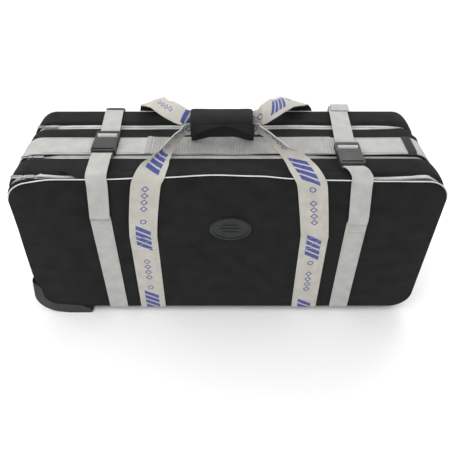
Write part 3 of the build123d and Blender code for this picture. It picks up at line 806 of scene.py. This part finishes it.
def upper_panel(side, name, body):
    shape = Shape()
    shape.slab(*panel_part(side, range(fold_row, len(PANEL_ROWS))))
    shape.build(name + "_cloth", "black_fabric", body, [name], "lining")


upper_panel(FRONT, "front_panel", "front_cover")
upper_panel(BACK, "back_panel", "back_cover")


CORD_R = 0.0012
CORD_IN = 0.0006       # how far the cord and its binding lie inside the outline


def cord_path(path, side):
    """Line of the piping, rolled over the edge of the panel."""
    points = []
    for p, n, _ in path:
        hidden = 0.0035 * (1 - smooth((p.z - 0.325) / 0.04))
        out = side * (HALF_Y - 0.0016 - hidden)
        points.append(crown(p - n * (CORD_IN + hidden * 0.5) + Vector((0, out, 0))))
    return points


def piping(path, side, name, body, node):
    shape = Shape()
    shape.tube(cord_path(path, side), CORD_R)

    def place(station, y):
        point, normal, s = station
        over = Vector((0, y, 0))
        return crown(point - normal * CORD_IN + over), crown(point - normal * PIPING + over), (s, y)

    strip = Shape()
    strip.slab(*sheet(path, [side * (HALF_Y - 0.0015), side * (HALF_Y - PANEL)], place), inside=0)
    shape.build(name, "piping", body, [node])
    strip.build(name + "_binding", "black_fabric", body)


for cord_line, cord_side, label, cord_body, node in (
        (UPPER, FRONT, "front", "front_cover", "front_piping"),
        (UPPER, BACK, "back", "back_cover", "back_piping"),
        (LOWER, FRONT, "lower_front", "case", "piping_lower"),
        (LOWER, BACK, "lower_back", "case", "piping_lower")):
    piping(cord_line, cord_side, label + "_piping_cord", cord_body, node)


# ---- tub and dividers -----------------------------------------------------------------------
def outside_well(p):
    return not (p.x < WELL_X and WELL_Y < abs(p.y) < HALF_Y - PANEL and p.z < WELL_Z)


def divider_rows(low, high):
    rows = [z for z in PANEL_ROWS if low < z < high]
    return [low] + rows[::2] + [high]


def divider(y_low, y_high, low, high, seed):
    """Sheet of lining cloth across the case, following the rounded outline."""
    def place(z, k):
        x = (half_width(z, WALL) - 0.0003) * k / 24
        sag = wrinkle(x, z, 6, 0.0012, seed)
        return Vector((x, y_low + sag, z)), Vector((x, y_high + sag, z)), (x, z)

    shape = Shape()
    shape.slab(*sheet(divider_rows(low, high), range(-24, 25), place), inside=0)
    return shape


divider_low, divider_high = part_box("front_divider")
divider(divider_low.y, divider_high.y, divider_low.z, divider_high.z - 0.0005, 21.0).build(
    "front_divider_cloth", "lining", "front_lid", ["front_divider"])
divider(divider_low.y, divider_high.y, BOTTOM + 0.008, FOLD, 21.0).build(
    "lower_divider_cloth", "lining", "case")
divider_low, divider_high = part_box("back_divider")
divider(divider_low.y, divider_high.y, divider_low.z, divider_high.z - 0.0005, 22.0).build(
    "back_divider_cloth", "lining", "case", ["back_divider"])


def tub():
    shape = Shape()
    ys = sorted(set(columns(-HALF_Y + PANEL, -WELL_Y, 0.011) + columns(-WELL_Y, WELL_Y, 0.011)
                    + columns(WELL_Y, HALF_Y - PANEL, 0.011)))
    outer, web = band(LOWER, ys, lambda s, y, t: wrinkle(s, y, 12, 0.0006, 9.0))
    inner, _ = band(LOWER, ys, lambda s, y, t: -WALL)
    shape.slab(outer, inner, web, outside_well)
    for side in (FRONT, BACK):
        shape.slab(*panel_part(side, range(fold_row + 1)))
    shape.build("base_tub_cloth", "black_fabric", "case", ["base_tub"], "lining")


tub()


# ---- webbing --------------------------------------------------------------------------------
STRAP_T = 0.0020
BOX_PITCH = 0.0046
BOX_THREAD = 0.0034
BEND = 0.010           # height over which sewn webbing bends at the fold
ABOVE_FOLD = [FOLD - 0.0008, FOLD + 0.003, FOLD + 0.006, FOLD + BEND]
PLAIN_BOX = PLAIN_W / 2 - 0.005
HANDLE_BOX = HANDLE_W / 2 - 0.006


def spline(values, k, t):
    """Point on a smooth curve through a list of vectors."""
    a = values[max(k - 1, 0)]
    b = values[k]
    c = values[k + 1]
    d = values[min(k + 2, len(values) - 1)]
    bend = a * 2 - b * 5 + c * 4 - d
    twist = b * 3 - a - c * 3 + d
    return (b * 2 + (c - a) * t + bend * t * t + twist * t ** 3) * 0.5


def ribbon(shape, sections, start=0.0, thickness=0.0018, spacing=0.006, wave=0.0, inside=0, seed=0.0):
    """Webbing through sections, each (centre, direction across, width, how far its edges curl)."""
    centres = [Vector(s[0]) for s in sections]
    crosses = [Vector(s[1]).normalized() for s in sections]
    sizes = [Vector((s[2], s[3] if len(s) > 3 else 0.0, 0)) for s in sections]
    places = []
    for k in range(len(sections) - 1):
        count = max(1, math.ceil((centres[k + 1] - centres[k]).length / spacing))
        places += [(k, n / count) for n in range(count)]
    places.append((len(sections) - 2, 1.0))
    line = [spline(centres, k, t) for k, t in places]
    outer, inner, web = [], [], []
    length = start
    for n, (k, t) in enumerate(places):
        along = (line[min(n + 1, len(line) - 1)] - line[max(n - 1, 0)]).normalized()
        across = crosses[k].lerp(crosses[k + 1], smooth(t)).normalized()
        normal = across.cross(along).normalized()
        width, curl = spline(sizes, k, t)[:2]
        if n:
            length += (line[n] - line[n - 1]).length
        out_row, in_row, web_row = [], [], []
        for j in range(-4, 5):
            v = j / 4
            lift = curl * (0.35 - v * v) + wave * noise.noise(Vector((length * 22, v * 1.5, seed)))
            middle = line[n] + across * (v * width / 2) + normal * lift
            out_row.append(middle + normal * (thickness / 2))
            in_row.append(middle - normal * (thickness / 2))
            web_row.append((length, v * width / 2))
        outer.append(out_row)
        inner.append(in_row)
        web.append(web_row)
    shape.slab(outer, inner, web, inside=inside)
    return length


def flat_strap(shape, x, width, points, start=0.0, thickness=STRAP_T):
    """Webbing that keeps one place in X and follows points in Y and Z."""
    sections = [((x, y, z), (1, 0, 0), width) for y, z in points]
    return ribbon(shape, sections, start, thickness)


def crossed_box(threads, a, b, c, d, normal):
    """The usual box with a cross that holds webbing down, through four corners."""
    stitches(threads, [a, b, c, d, a, c], normal, BOX_PITCH, BOX_THREAD)
    stitches(threads, [b, d], normal, BOX_PITCH, BOX_THREAD)


def upright_box(threads, x, z_low, z_high, half, y, normal):
    places = ((x - half, z_low), (x + half, z_low), (x + half, z_high), (x - half, z_high))
    crossed_box(threads, *[Vector((place_x, y, z)) for place_x, z in places], normal)


def edge_lines(threads, x, half, z_low, z_high, y, normal):
    for side in (-1, 1):
        line = [Vector((x + side * half, y, z_low)), Vector((x + side * half, y, z_high))]
        stitches(threads, line, normal)


STRAP_MID = HALF_Y + WEB_T / 2
RIGHT_MOTIF = 0.012   # where the printed repeat stands at the top of the right sewn strap
for side, body, plain_node, handle_node, label in (
        (FRONT, "front_cover", "front_plain_straps", "front_handle_straps", "front"),
        (BACK, "back_cover", "back_panel_straps", "back_panel_straps", "back")):
    plain, printed, threads, dark = Shape(), Shape(), Shape(), Shape()
    y = side * STRAP_MID
    surface = side * (STRAP_MID + 0.0010)
    out = Vector((0, side, 0))
    for k, x in enumerate(PLAIN_X):
        end = PLAIN_STITCH[k]
        flat_strap(plain, x, PLAIN_W, [(y, z) for z in ABOVE_FOLD + [0.2, end]], FOLD)
        upright_box(threads, x, end - 0.028, end - 0.004, PLAIN_BOX, surface, out)
        edge_lines(threads, x, PLAIN_W / 2 - 0.003, ABOVE_FOLD[2], end - 0.03, surface, out)
    for k, x in enumerate(HANDLE_X):
        end = HANDLE_STITCH
        heights = ABOVE_FOLD + [0.18, end]
        if k == 0:
            ribbon(printed, [((x, y, z), (-side, 0, 0), HANDLE_W) for z in heights], FOLD, STRAP_T)
        else:
            sections = [((x, y, z), (side, 0, 0), HANDLE_W) for z in reversed(heights)]
            ribbon(printed, sections, RIGHT_MOTIF, STRAP_T)
        upright_box(dark, x, end - 0.034, end - 0.004, HANDLE_BOX, surface, out)
        edge_lines(dark, x, HANDLE_W / 2 - 0.003, ABOVE_FOLD[2], end - 0.036, surface, out)
    for made in (plain.build(label + "_plain_webbing", "grey_webbing", None, [plain_node]),
                 printed.build(label + "_handle_webbing", "patterned_webbing", None, [handle_node])):
        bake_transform(made)
    threads.build(label + "_plain_stitches", "grey_webbing", body)
    dark.build(label + "_handle_stitches", "piping", body)

lower_plain, lower_printed = Shape(), Shape()
UNDER = BOTTOM - WEB_T / 2
for xs, width, shape in ((PLAIN_X, PLAIN_W, lower_plain), (HANDLE_X, HANDLE_W, lower_printed)):
    for k, x in enumerate(xs):
        points = [(-STRAP_MID, FOLD - 0.001), (-STRAP_MID, 0.07), (-STRAP_MID, BOTTOM + WEB_T),
                  (-STRAP_MID + WEB_T, UNDER), (-0.06, UNDER), (0.06, UNDER), (STRAP_MID - WEB_T, UNDER),
                  (STRAP_MID, BOTTOM + WEB_T), (STRAP_MID, 0.07), (STRAP_MID, FOLD - 0.001)]
        if k == 0:
            points.reverse()
            start = FOLD - sum(math.dist(a, b) for a, b in zip(points, points[1:]))
        else:
            start = RIGHT_MOTIF + HANDLE_STITCH - FOLD
        sections = [((x, py, pz), (1 - 2 * k, 0, 0), width) for py, pz in points]
        ribbon(shape, sections, start, STRAP_T)
lower_plain.build("base_plain_webbing", "grey_webbing", "case", ["base_straps"])
lower_printed.build("base_handle_webbing", "patterned_webbing", "case", ["base_straps"])

# ---- wide webbing over the middle -----------------------------------------------------------
wide_low, wide_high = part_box("wide_webbing")
overlay_low, overlay_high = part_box("centre_webbing_overlay")


def full_outline(z_end):
    """Stations of the upper outline, carried on down both sides to z_end."""
    extra = fill([z_end, FOLD], 0.01)[:-1]
    left = [(Vector((-HALF_X, 0, z)), Vector((-1, 0, 0)), z - FOLD) for z in extra]
    right = [(Vector((HALF_X, 0, z)), Vector((1, 0, 0)), UPPER[-1][2] + FOLD - z) for z in reversed(extra)]
    return left + UPPER + right


def wide_webbing():
    path = full_outline(wide_low.z)
    ys = columns(wide_low.y, wide_high.y, 0.005)

    def edge(s, point, t):
        return wrinkle(s, 0.0, 11, 0.0028, 31.0) * (1 - t) + wrinkle(s, 0.0, 8, 0.0012, 32.0) * t

    def top(s, y, t):
        near = min(t, 1 - t)
        return 0.0004 + WEB_T * 0.9 + wrinkle(s, y, 18, 0.0009, 33.0) * smooth(near * 8)

    outer, web = band(path, ys, top, edge)
    inner, _ = band(path, ys, lambda s, y, t: top(s, y, t) - STRAP_T, edge)
    shape = Shape()
    shape.slab(outer, inner, web, inside=0)
    shape.build("wide_webbing_cloth", "grey_webbing", "case", ["wide_webbing"])
    threads = Shape()
    for y in (wide_low.y + 0.004, wide_high.y - 0.004):
        for run in (fill([-0.37, overlay_low.x - 0.012], 0.05), fill([overlay_high.x + 0.012, 0.36], 0.05)):
            stitches(threads, [Vector((x, y, TOP + WEB_T + 0.0008)) for x in run], UP)
    threads.build("wide_webbing_stitches", "grey_webbing", "case")


wide_webbing()


OVERLAY_T = 0.0016


def overlay():
    """Ribbed second layer of the wide webbing, with a turned fold at its left end."""
    ys = columns(wide_low.y - 0.0004, wide_high.y + 0.0004, 0.005)

    def place(x, k):
        from_left = x - overlay_low.x
        turned = 0.0016 * math.exp(-((from_left - 0.006) / 0.006) ** 2)
        t = k / (len(ys) - 1)
        moved = ys[k] + wrinkle(x, 0, 16, 0.0022, 35.0) * (1 - t) + wrinkle(x, 0, 12, 0.001, 36.0) * t
        rib = 0.0005 * abs(math.sin(math.pi * from_left / RIB_PITCH))
        z = TOP + WEB_T + 0.0012 + rib + turned + wrinkle(x, ys[k], 15, 0.0008, 37.0)
        return Vector((x, moved, z)), Vector((x, moved, z - OVERLAY_T)), (x, ys[k])

    shape = Shape()
    xs = fill([overlay_low.x, overlay_high.x], RIB_PITCH / 4)
    shape.slab(*sheet(xs, range(len(ys)), place), inside=0)
    shape.build("centre_overlay_cloth", "grey_webbing", "case", ["centre_webbing_overlay"], finish=WIDE_WEB)
    threads = Shape()
    for x in (overlay_low.x + 0.016, overlay_high.x - 0.005):
        line = columns(wide_low.y + 0.003, wide_high.y - 0.003, 0.01)
        stitches(threads, [Vector((x, y, TOP + WEB_T + 0.0032)) for y in line], UP)
    threads.build("overlay_stitches", "piping", "case")


overlay()

keeper_low, keeper_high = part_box("webbing_keeper")


def band_keeper():
    """Black band sewn across the wide webbing."""
    width = keeper_high.x - keeper_low.x
    x = (keeper_low.x + keeper_high.x) / 2
    top = TOP + WEB_T + 0.0022
    points = [(keeper_low.y - 0.004, TOP + 0.0012), (keeper_low.y, TOP + 0.0024), (keeper_low.y + 0.004, top),
              (-0.02, top + 0.0004), (keeper_high.y - 0.006, top), (keeper_high.y - 0.001, TOP + 0.002)]
    shape = Shape()
    flat_strap(shape, x, width, points, thickness=0.0016)
    shape.build("webbing_keeper_cloth", "black_webbing", "case", ["webbing_keeper"])


band_keeper()


def end_handle():
    """Grab handle: flat feet sewn to the end, arched webbing between them."""
    low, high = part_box("end_handle")
    y = (low.y + high.y) / 2
    width = high.y - low.y
    foot = low.x + 0.0012
    arch = high.x - 0.0030
    steps = [(foot, 0.0), (foot, 0.02), (foot + 0.0006, 0.032), (arch - 0.003, 0.05), (arch, 0.066)]
    profile = [(x, low.z + z) for x, z in steps] + [(x, high.z - z) for x, z in reversed(steps)]
    shape = Shape()
    ribbon(shape, [((x, y, z), (0, 1, 0), width) for x, z in profile], 0.0, 0.0022)
    shape.build("end_handle_webbing", "black_webbing", "case", ["end_handle"])
    core = Shape()
    start, end = [Vector((arch + 0.0004, y, profile[k][1])) for k in (3, 6)]
    sections = [(start + (end - start) * k / 10, (0, 1, 0), width * 0.82, 0.003) for k in range(1, 10)]
    ribbon(core, sections, 0.0, 0.0030)
    core.build("end_handle_pad", "grip_fabric", "case")
    threads = Shape()
    for z_low in (low.z + 0.003, high.z - 0.021):
        a = Vector((foot + 0.0014, y - width / 2 + 0.004, z_low))
        b = Vector((foot + 0.0014, y + width / 2 - 0.004, z_low))
        crossed_box(threads, a, b, b + UP * 0.018, a + UP * 0.018, ALONG_X)
    threads.build("end_handle_stitches", "grey_webbing", "case")


end_handle()

# ---- handle loops ---------------------------------------------------------------------------
FREE_Y = HALF_Y + WEB_T * 1.5 + 0.0001
grip_low = Vector(map(min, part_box("grip_pad")[0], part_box("grip_flap")[0]))
grip_high = Vector(map(max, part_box("grip_pad")[1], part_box("grip_flap")[1]))
FRONT_BAR = (-0.0055, 0.425)
BACK_BAR = (0.0055, 0.443)
LEFTWARD = (-1, 0, 0)
RIGHTWARD = (1, 0, 0)
BAR_X = (grip_low.x + 0.004, grip_high.x - 0.004)
LOOP_END = HANDLE_STITCH - 0.001
FRONT_LOOP = [
    ((HANDLE_X[0], -FREE_Y, LOOP_END), RIGHTWARD, HANDLE_W, 0.0),
    ((-0.164, -FREE_Y - 0.0004, 0.30), RIGHTWARD, HANDLE_W, 0.0),
    ((-0.152, -FREE_Y - 0.001, 0.375), RIGHTWARD, HANDLE_W, -0.001),
    ((-0.144, -FREE_Y - 0.0004, 0.396), (1, 0.05, -0.1), HANDLE_W, -0.002),
    ((-0.136, -0.118, 0.407), (0.92, 0.26, -0.30), 0.054, -0.003),
    ((-0.127, -0.095, 0.412), (0.72, 0.55, -0.44), 0.048, -0.004),
    ((-0.118, -0.070, 0.413), (0.50, 0.69, -0.51), 0.043, -0.005),
    ((-0.103, -0.035, 0.417), (0.37, 0.66, -0.65), 0.037, -0.005),
    ((-0.090, -0.016, 0.422), (0.20, 0.60, -0.75), 0.032, -0.005),
    ((BAR_X[0], *FRONT_BAR), (0, 0, -1), 0.026, -0.003),
    ((BAR_X[1], *FRONT_BAR), (0, 0, -1), 0.026, -0.003),
    ((0.072, -0.016, 0.428), (-0.10, 0.60, -0.78), 0.032, -0.005),
    ((0.090, -0.032, 0.424), (-0.10, 0.66, -0.75), 0.036, -0.005),
    ((0.112, -0.062, 0.416), (-0.40, 0.66, -0.64), 0.041, -0.005),
    ((0.125, -0.084, 0.416), (-0.65, 0.50, -0.56), 0.046, -0.004),
    ((0.137, -0.104, 0.412), (-0.84, 0.38, -0.38), 0.051, -0.003),
    ((0.147, -0.122, 0.405), (-0.96, 0.16, -0.20), 0.055, -0.002),
    ((0.157, -FREE_Y - 0.0004, 0.394), (-1, 0.05, -0.05), HANDLE_W, -0.002),
    ((0.164, -FREE_Y - 0.001, 0.375), LEFTWARD, HANDLE_W, -0.001),
    ((0.176, -FREE_Y - 0.0004, 0.30), LEFTWARD, HANDLE_W, 0.0),
    ((HANDLE_X[1], -FREE_Y, LOOP_END), LEFTWARD, HANDLE_W, 0.0),
]
BACK_LOOP = [
    ((HANDLE_X[0], FREE_Y, LOOP_END), RIGHTWARD, HANDLE_W, 0.0),
    ((-0.169, FREE_Y + 0.0004, 0.31), RIGHTWARD, HANDLE_W, 0.0),
    ((-0.167, FREE_Y + 0.001, 0.380), RIGHTWARD, HANDLE_W, 0.001),
    ((-0.164, FREE_Y - 0.002, 0.405), (1, -0.05, 0.10), 0.056, 0.002),
    ((-0.159, 0.121, 0.420), (0.80, 0.50, 0.10), 0.054, 0.003),
    ((-0.148, 0.100, 0.429), (0.50, 0.85, 0.00), 0.051, 0.004),
    ((-0.132, 0.070, 0.435), (0.33, 0.90, 0.12), 0.050, 0.005),
    ((-0.111, 0.042, 0.4395), (0.16, 0.90, 0.36), 0.050, 0.005),
    ((-0.092, 0.021, 0.441), (0.08, 0.80, 0.55), 0.042, 0.005),
    ((BAR_X[0], *BACK_BAR), (0, 0, 1), 0.028, 0.003),
    ((BAR_X[1], *BACK_BAR), (0, 0, 1), 0.028, 0.003),
    ((0.076, 0.020, 0.443), (-0.08, 0.80, 0.55), 0.044, 0.005),
    ((0.095, 0.043, 0.443), (-0.18, 0.92, 0.38), 0.051, 0.005),
    ((0.116, 0.073, 0.438), (-0.33, 0.90, 0.12), 0.051, 0.005),
    ((0.133, 0.100, 0.431), (-0.50, 0.85, 0.00), 0.052, 0.004),
    ((0.146, 0.121, 0.421), (-0.80, 0.50, 0.10), 0.054, 0.003),
    ((0.160, FREE_Y - 0.002, 0.406), (-1, -0.05, 0.10), 0.056, 0.002),
    ((0.170, FREE_Y + 0.001, 0.380), LEFTWARD, HANDLE_W, 0.001),
    ((0.178, FREE_Y + 0.0004, 0.31), LEFTWARD, HANDLE_W, 0.0),
    ((HANDLE_X[1], FREE_Y, LOOP_END), LEFTWARD, HANDLE_W, 0.0),
]
MOTIF_START = {"front_handle": HANDLE_STITCH, "back_handle": HANDLE_STITCH + 0.055}


def opposite(sections):
    """The same webbing with its other face outwards."""
    return [(centre, [-a for a in across], width, curl) for centre, across, width, curl in sections]


for name, body, sections in (("front_handle_loop", "front_handle", FRONT_LOOP),
                             ("back_handle_loop", "back_handle", opposite(BACK_LOOP))):
    shape = Shape()
    ribbon(shape, sections, MOTIF_START[body], STRAP_T, 0.005, 0.0006, 1, 41.0)
    shape.build(name + "_webbing", "patterned_webbing", body, [name], "black_webbing")


# ---- grip -----------------------------------------------------------------------------------
GRIP_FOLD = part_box("grip_flap")[1].z
GRIP_TOP = 0.4600
FOLD_Y = 0.0232


def grip_wave(x):
    """0 at both ends of the grip, 1 at its middle."""
    t = (x - grip_low.x) / (grip_high.x - grip_low.x)
    return math.sin(math.pi * min(max(t, 0), 1)) ** 1.3


def grip_leg(low):
    """Line from the fold of the grip down to its lower edge."""
    drop = GRIP_FOLD - low
    return [(0.0205, GRIP_FOLD - drop * 0.35), (0.0165, GRIP_FOLD - drop * 0.7),
            (0.0120, low + 0.002), (0.004, low)]


def grip_back(x):
    """Outer line of the pad: from the front fold, over the top and down the back."""
    over = [(-FOLD_Y, GRIP_FOLD), (-0.0218, 0.4515), (-0.015, 0.4578), (-0.006, GRIP_TOP), (0.006, GRIP_TOP),
            (0.015, 0.4578), (0.0218, 0.4515), (FOLD_Y, GRIP_FOLD)]
    leg = grip_leg(grip_low.z + 0.012 * grip_wave(x))
    return [Vector((x, y, z)) for y, z in over + leg]


def grip_under(x):
    """Outer line of the flap's long inner layer."""
    low = grip_low.z + 0.0125 * grip_wave(x)
    leg = grip_leg(low)
    return [Vector((x, 0.0012 - y, z)) for y, z in [(FOLD_Y, GRIP_FOLD - 0.0012)] + leg]


def grip_over(x):
    """Outer line of the flap's short outer layer, whose edge is arched."""
    low = 0.4165 + 0.0225 * grip_wave(x)
    middle = low + (GRIP_FOLD - low) * 0.5
    rest = [(FOLD_Y + 0.0006, GRIP_FOLD - 0.0008), (0.0252, middle), (0.0258, low + 0.003), (0.0250, low)]
    return [Vector((x, -y, z)) for y, z in rest]


def grip_part(line_at, x_range, thickness, name, body, node):
    outer, inner, web = [], [], []
    for x in fill(x_range, 0.004):
        line = line_at(x)
        points = []
        for k in range(len(line) - 1):
            points += [spline(line, k, t) for t in (0.0, 0.34, 0.67)]
        points.append(line[-1])
        end = min(x - x_range[0], x_range[1] - x)
        rounding = thickness * 0.45 * (1 - smooth(end / 0.005))
        out_row, in_row, web_row = [], [], []
        length = 0.0
        for k, point in enumerate(points):
            along = points[min(k + 1, len(points) - 1)] - points[max(k - 1, 0)]
            normal = Vector((0, -along.z, along.y)).normalized()
            if normal.dot(point - Vector((x, 0, 0.43))) < 0:
                normal = -normal
            length += (point - points[max(k - 1, 0)]).length
            puff = wrinkle(x, length, 34, 0.0009, 51.0) - rounding
            out_row.append(point + normal * puff)
            in_row.append(point - normal * (thickness - rounding))
            web_row.append((x, length))
        outer.append(out_row)
        inner.append(in_row)
        web.append(web_row)
    shape = Shape()
    shape.slab(outer, inner, web, inside=0)
    shape.build(name, "grip_fabric", body, [node])
    threads = Shape()
    for x_index in (2, len(outer) - 3):
        row = outer[x_index]
        for a, b in zip(row[1:-2], row[2:-1]):
            stitches(threads, [a, b], ALONG_X.cross(b - a).normalized(), 0.006, 0.0036, 0.0008)
    threads.build(name + "_stitches", "black_webbing", body)


PAD_X = (grip_low.x, grip_high.x - 0.0035)
FLAP_X = (grip_low.x, grip_high.x)
PAD_T, INNER_T, OUTER_T = 0.0036, 0.0024, 0.0022
grip_part(grip_back, PAD_X, PAD_T, "grip_pad_cloth", "back_handle", "grip_pad")
grip_part(grip_under, FLAP_X, INNER_T, "grip_flap_inner", "grip_flap", "grip_flap")
grip_part(grip_over, FLAP_X, OUTER_T, "grip_flap_outer", "grip_flap", "grip_flap")

# ---- buckle straps --------------------------------------------------------------------------
BAR_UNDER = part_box("buckle_female_left")[0].z - 0.0012
MALE_LOW, MALE_TOP = [corner.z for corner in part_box("buckle_male_left")]
STRAP_W = PLAIN_W - 0.0015
FIRST_SLOT, SECOND_SLOT = 0.0125, 0.0235   # middles of the male buckle's slots behind its shoulder
KEEPER_Y = 0.1325
KEEPER_LOW = 0.3820
KEEPER_W = 0.012
RUN_Z = 0.3985
BACK_EDGE_X = (-0.251, 0.252)
BACK_EDGE_Z = (0.3930, 0.3985)   # how high the left and right strap lie at the back edge
FRONT_EDGE_X = (-0.2435, 0.257)
FRONT_EDGE_Z = (RUN_Z + 0.0005, RUN_Z - 0.0045)


def front_buckle_strap(k, side):
    """From the stitches over the front edge, under the female buckle's bar and up into its slot."""
    low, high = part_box("buckle_female_" + side)
    x_buckle = (low.x + high.x) / 2
    x = PLAIN_X[k]
    start = low.y
    front = -FREE_Y
    x_edge = FRONT_EDGE_X[k]
    run = (x_edge + x_buckle) / 2
    path = [(x, front, PLAIN_STITCH[k] - 0.004), (x, front, 0.30), (x_edge, front - 0.0006, 0.374),
            (x_edge, front + 0.002, FRONT_EDGE_Z[k] - 0.007), (x_edge, front + 0.010, FRONT_EDGE_Z[k]),
            (run, (front + start) / 2, RUN_Z + 0.003), (x_buckle, start - 0.009, RUN_Z + 0.003),
            (x_buckle, start - 0.0025, RUN_Z - 0.001), (x_buckle, start + 0.0005, BAR_UNDER + 0.0005),
            (x_buckle, start + 0.0035, BAR_UNDER), (x_buckle, start + 0.0058, BAR_UNDER + 0.004),
            (x_buckle, start + 0.0060, BAR_UNDER + 0.009)]
    shape = Shape()
    sections = [(point, RIGHTWARD, STRAP_W) for point in path]
    ribbon(shape, sections, PLAIN_STITCH[k], 0.0016, wave=0.0003, seed=61.0 + k)
    node = "front_strap_" + side
    shape.build(node + "_webbing", "grey_webbing", node, [node])


def back_buckle_strap(k, side):
    """From the stitches over the back edge, under the rear bar, over the middle bar and down again."""
    low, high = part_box("buckle_male_" + side)
    x_buckle = (low.x + high.x) / 2
    body_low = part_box("buckle_female_" + side)[1].y + 0.0005
    end = high.y
    slot_one = body_low + FIRST_SLOT
    slot_two = body_low + SECOND_SLOT
    under = MALE_LOW - 0.0008
    over = MALE_TOP + 0.0009
    back = FREE_Y
    x = PLAIN_X[k]
    x_edge = BACK_EDGE_X[k]
    path = [(x, back, PLAIN_STITCH[k] - 0.004), ((x + x_edge) / 2, back, 0.34),
            (x_edge, back + 0.0006, 0.372),
            (x_edge, back - 0.002, BACK_EDGE_Z[k] - 0.0050), (x_edge, back - 0.010, BACK_EDGE_Z[k]),
            (x_buckle, end + 0.020, RUN_Z), (x_buckle, end + 0.006, under + 0.0016), (x_buckle, end, under),
            (x_buckle, slot_two + 0.0045, under), (x_buckle, slot_two, under + 0.005),
            (x_buckle, slot_two - 0.0004, MALE_TOP - 0.002), (x_buckle, slot_two - 0.003, over),
            (x_buckle, slot_one + 0.003, over), (x_buckle, slot_one + 0.0004, MALE_TOP - 0.002),
            (x_buckle, slot_one, under + 0.004)]
    shape = Shape()
    sections = [(point, RIGHTWARD, STRAP_W) for point in path]
    ribbon(shape, sections, 0.05, 0.0015, wave=0.0003, seed=71.0 + k)
    if side == "right":
        loose = ((0.112, 0.0026), (0.122, 0.0036), (0.132, 0.0040), (0.1395, 0.0030))
        tail = [(x_edge + 0.004, y, RUN_Z + rise) for y, rise in loose]
        sections = [(point, RIGHTWARD, STRAP_W) for point in tail]
        ribbon(shape, sections, 0.12, 0.0016, wave=0.0003, seed=75.0)
    node = "back_strap_" + side
    shape.build(node + "_webbing", "grey_webbing", node, [node])


for k, side in enumerate(("left", "right")):
    front_buckle_strap(k, side)
    back_buckle_strap(k, side)


def strap_keeper():
    """Black elastic loop that holds the left strap's tail."""
    x = BACK_EDGE_X[0]
    half = PLAIN_W / 2 + 0.0014
    low, high = KEEPER_LOW, BACK_EDGE_Z[0] - 0.0010
    middle = (low + high) / 2
    points = [(-half + 0.002, low), (-half, middle), (-half + 0.002, high), (0, high + 0.0006),
              (half - 0.002, high), (half, middle), (half - 0.002, low), (0, low - 0.0004),
              (-half + 0.002, low)]
    shape = Shape()
    ribbon(shape, [((x + dx, KEEPER_Y, z), (0, 1, 0), KEEPER_W) for dx, z in points], 0.0, 0.0013)
    shape.build("strap_keeper_left", "black_webbing", "back_strap_left")


strap_keeper()

# ---- CAD nodes that stay --------------------------------------------------------------------
KEPT = {
    "dark_plastic": ["wheel_housing_front", "wheel_housing_back", "skid_feet",
                     "wheel_hub_front", "wheel_hub_back"],
    "steel": ["wheel_axles", "base_screws"],
    "board": ["base_board", "front_panel_board"],
    "badge_rubber": ["badge"],
    "tyre_rubber": ["wheel_tyre_front", "wheel_tyre_back"],
    "zip_metal": ["zip_" + part for part in (
        "slider_front", "slider_main", "slider_back", "pull_front", "pull_main", "pull_back")],
    "buckle_plastic": [f"buckle_{part}" for part in (
        "female_left", "female_right", "male_left", "male_right",
        "arm_left_a", "arm_left_b", "arm_right_a", "arm_right_b")],
}
BEVELS = {"dark_plastic": 0.0012, "steel": 0.0003, "board": 0.0005, "badge_rubber": 0.0006,
          "tyre_rubber": 0.0, "zip_metal": 0.0003, "buckle_plastic": 0.0008}
for kept_slot, names in KEPT.items():
    for name in names:
        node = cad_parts[name]
        node.data.materials.clear()
        node.data.materials.append(FINISHES[kept_slot].material)
        if BEVELS[kept_slot]:
            bevel = node.modifiers.new("soft_edges", "BEVEL")
            bevel.width = BEVELS[kept_slot]
            bevel.segments = 3
            bevel.limit_method = "ANGLE"
            bevel.angle_limit = math.radians(35)

# ---- floor ----------------------------------------------------------------------------------
floor_mesh = bpy.data.meshes.new("floor")
floor_mesh.from_pydata([(-6, -6, 0), (6, -6, 0), (6, 6, 0), (-6, 6, 0)], [], [(0, 1, 2, 3)])
floor = add_object("floor", floor_mesh)
floor_finish = Finish("floor_paper", 0.9)
floor_finish.colour(linear((250, 250, 250)))
floor_mesh.materials.append(floor_finish.material)
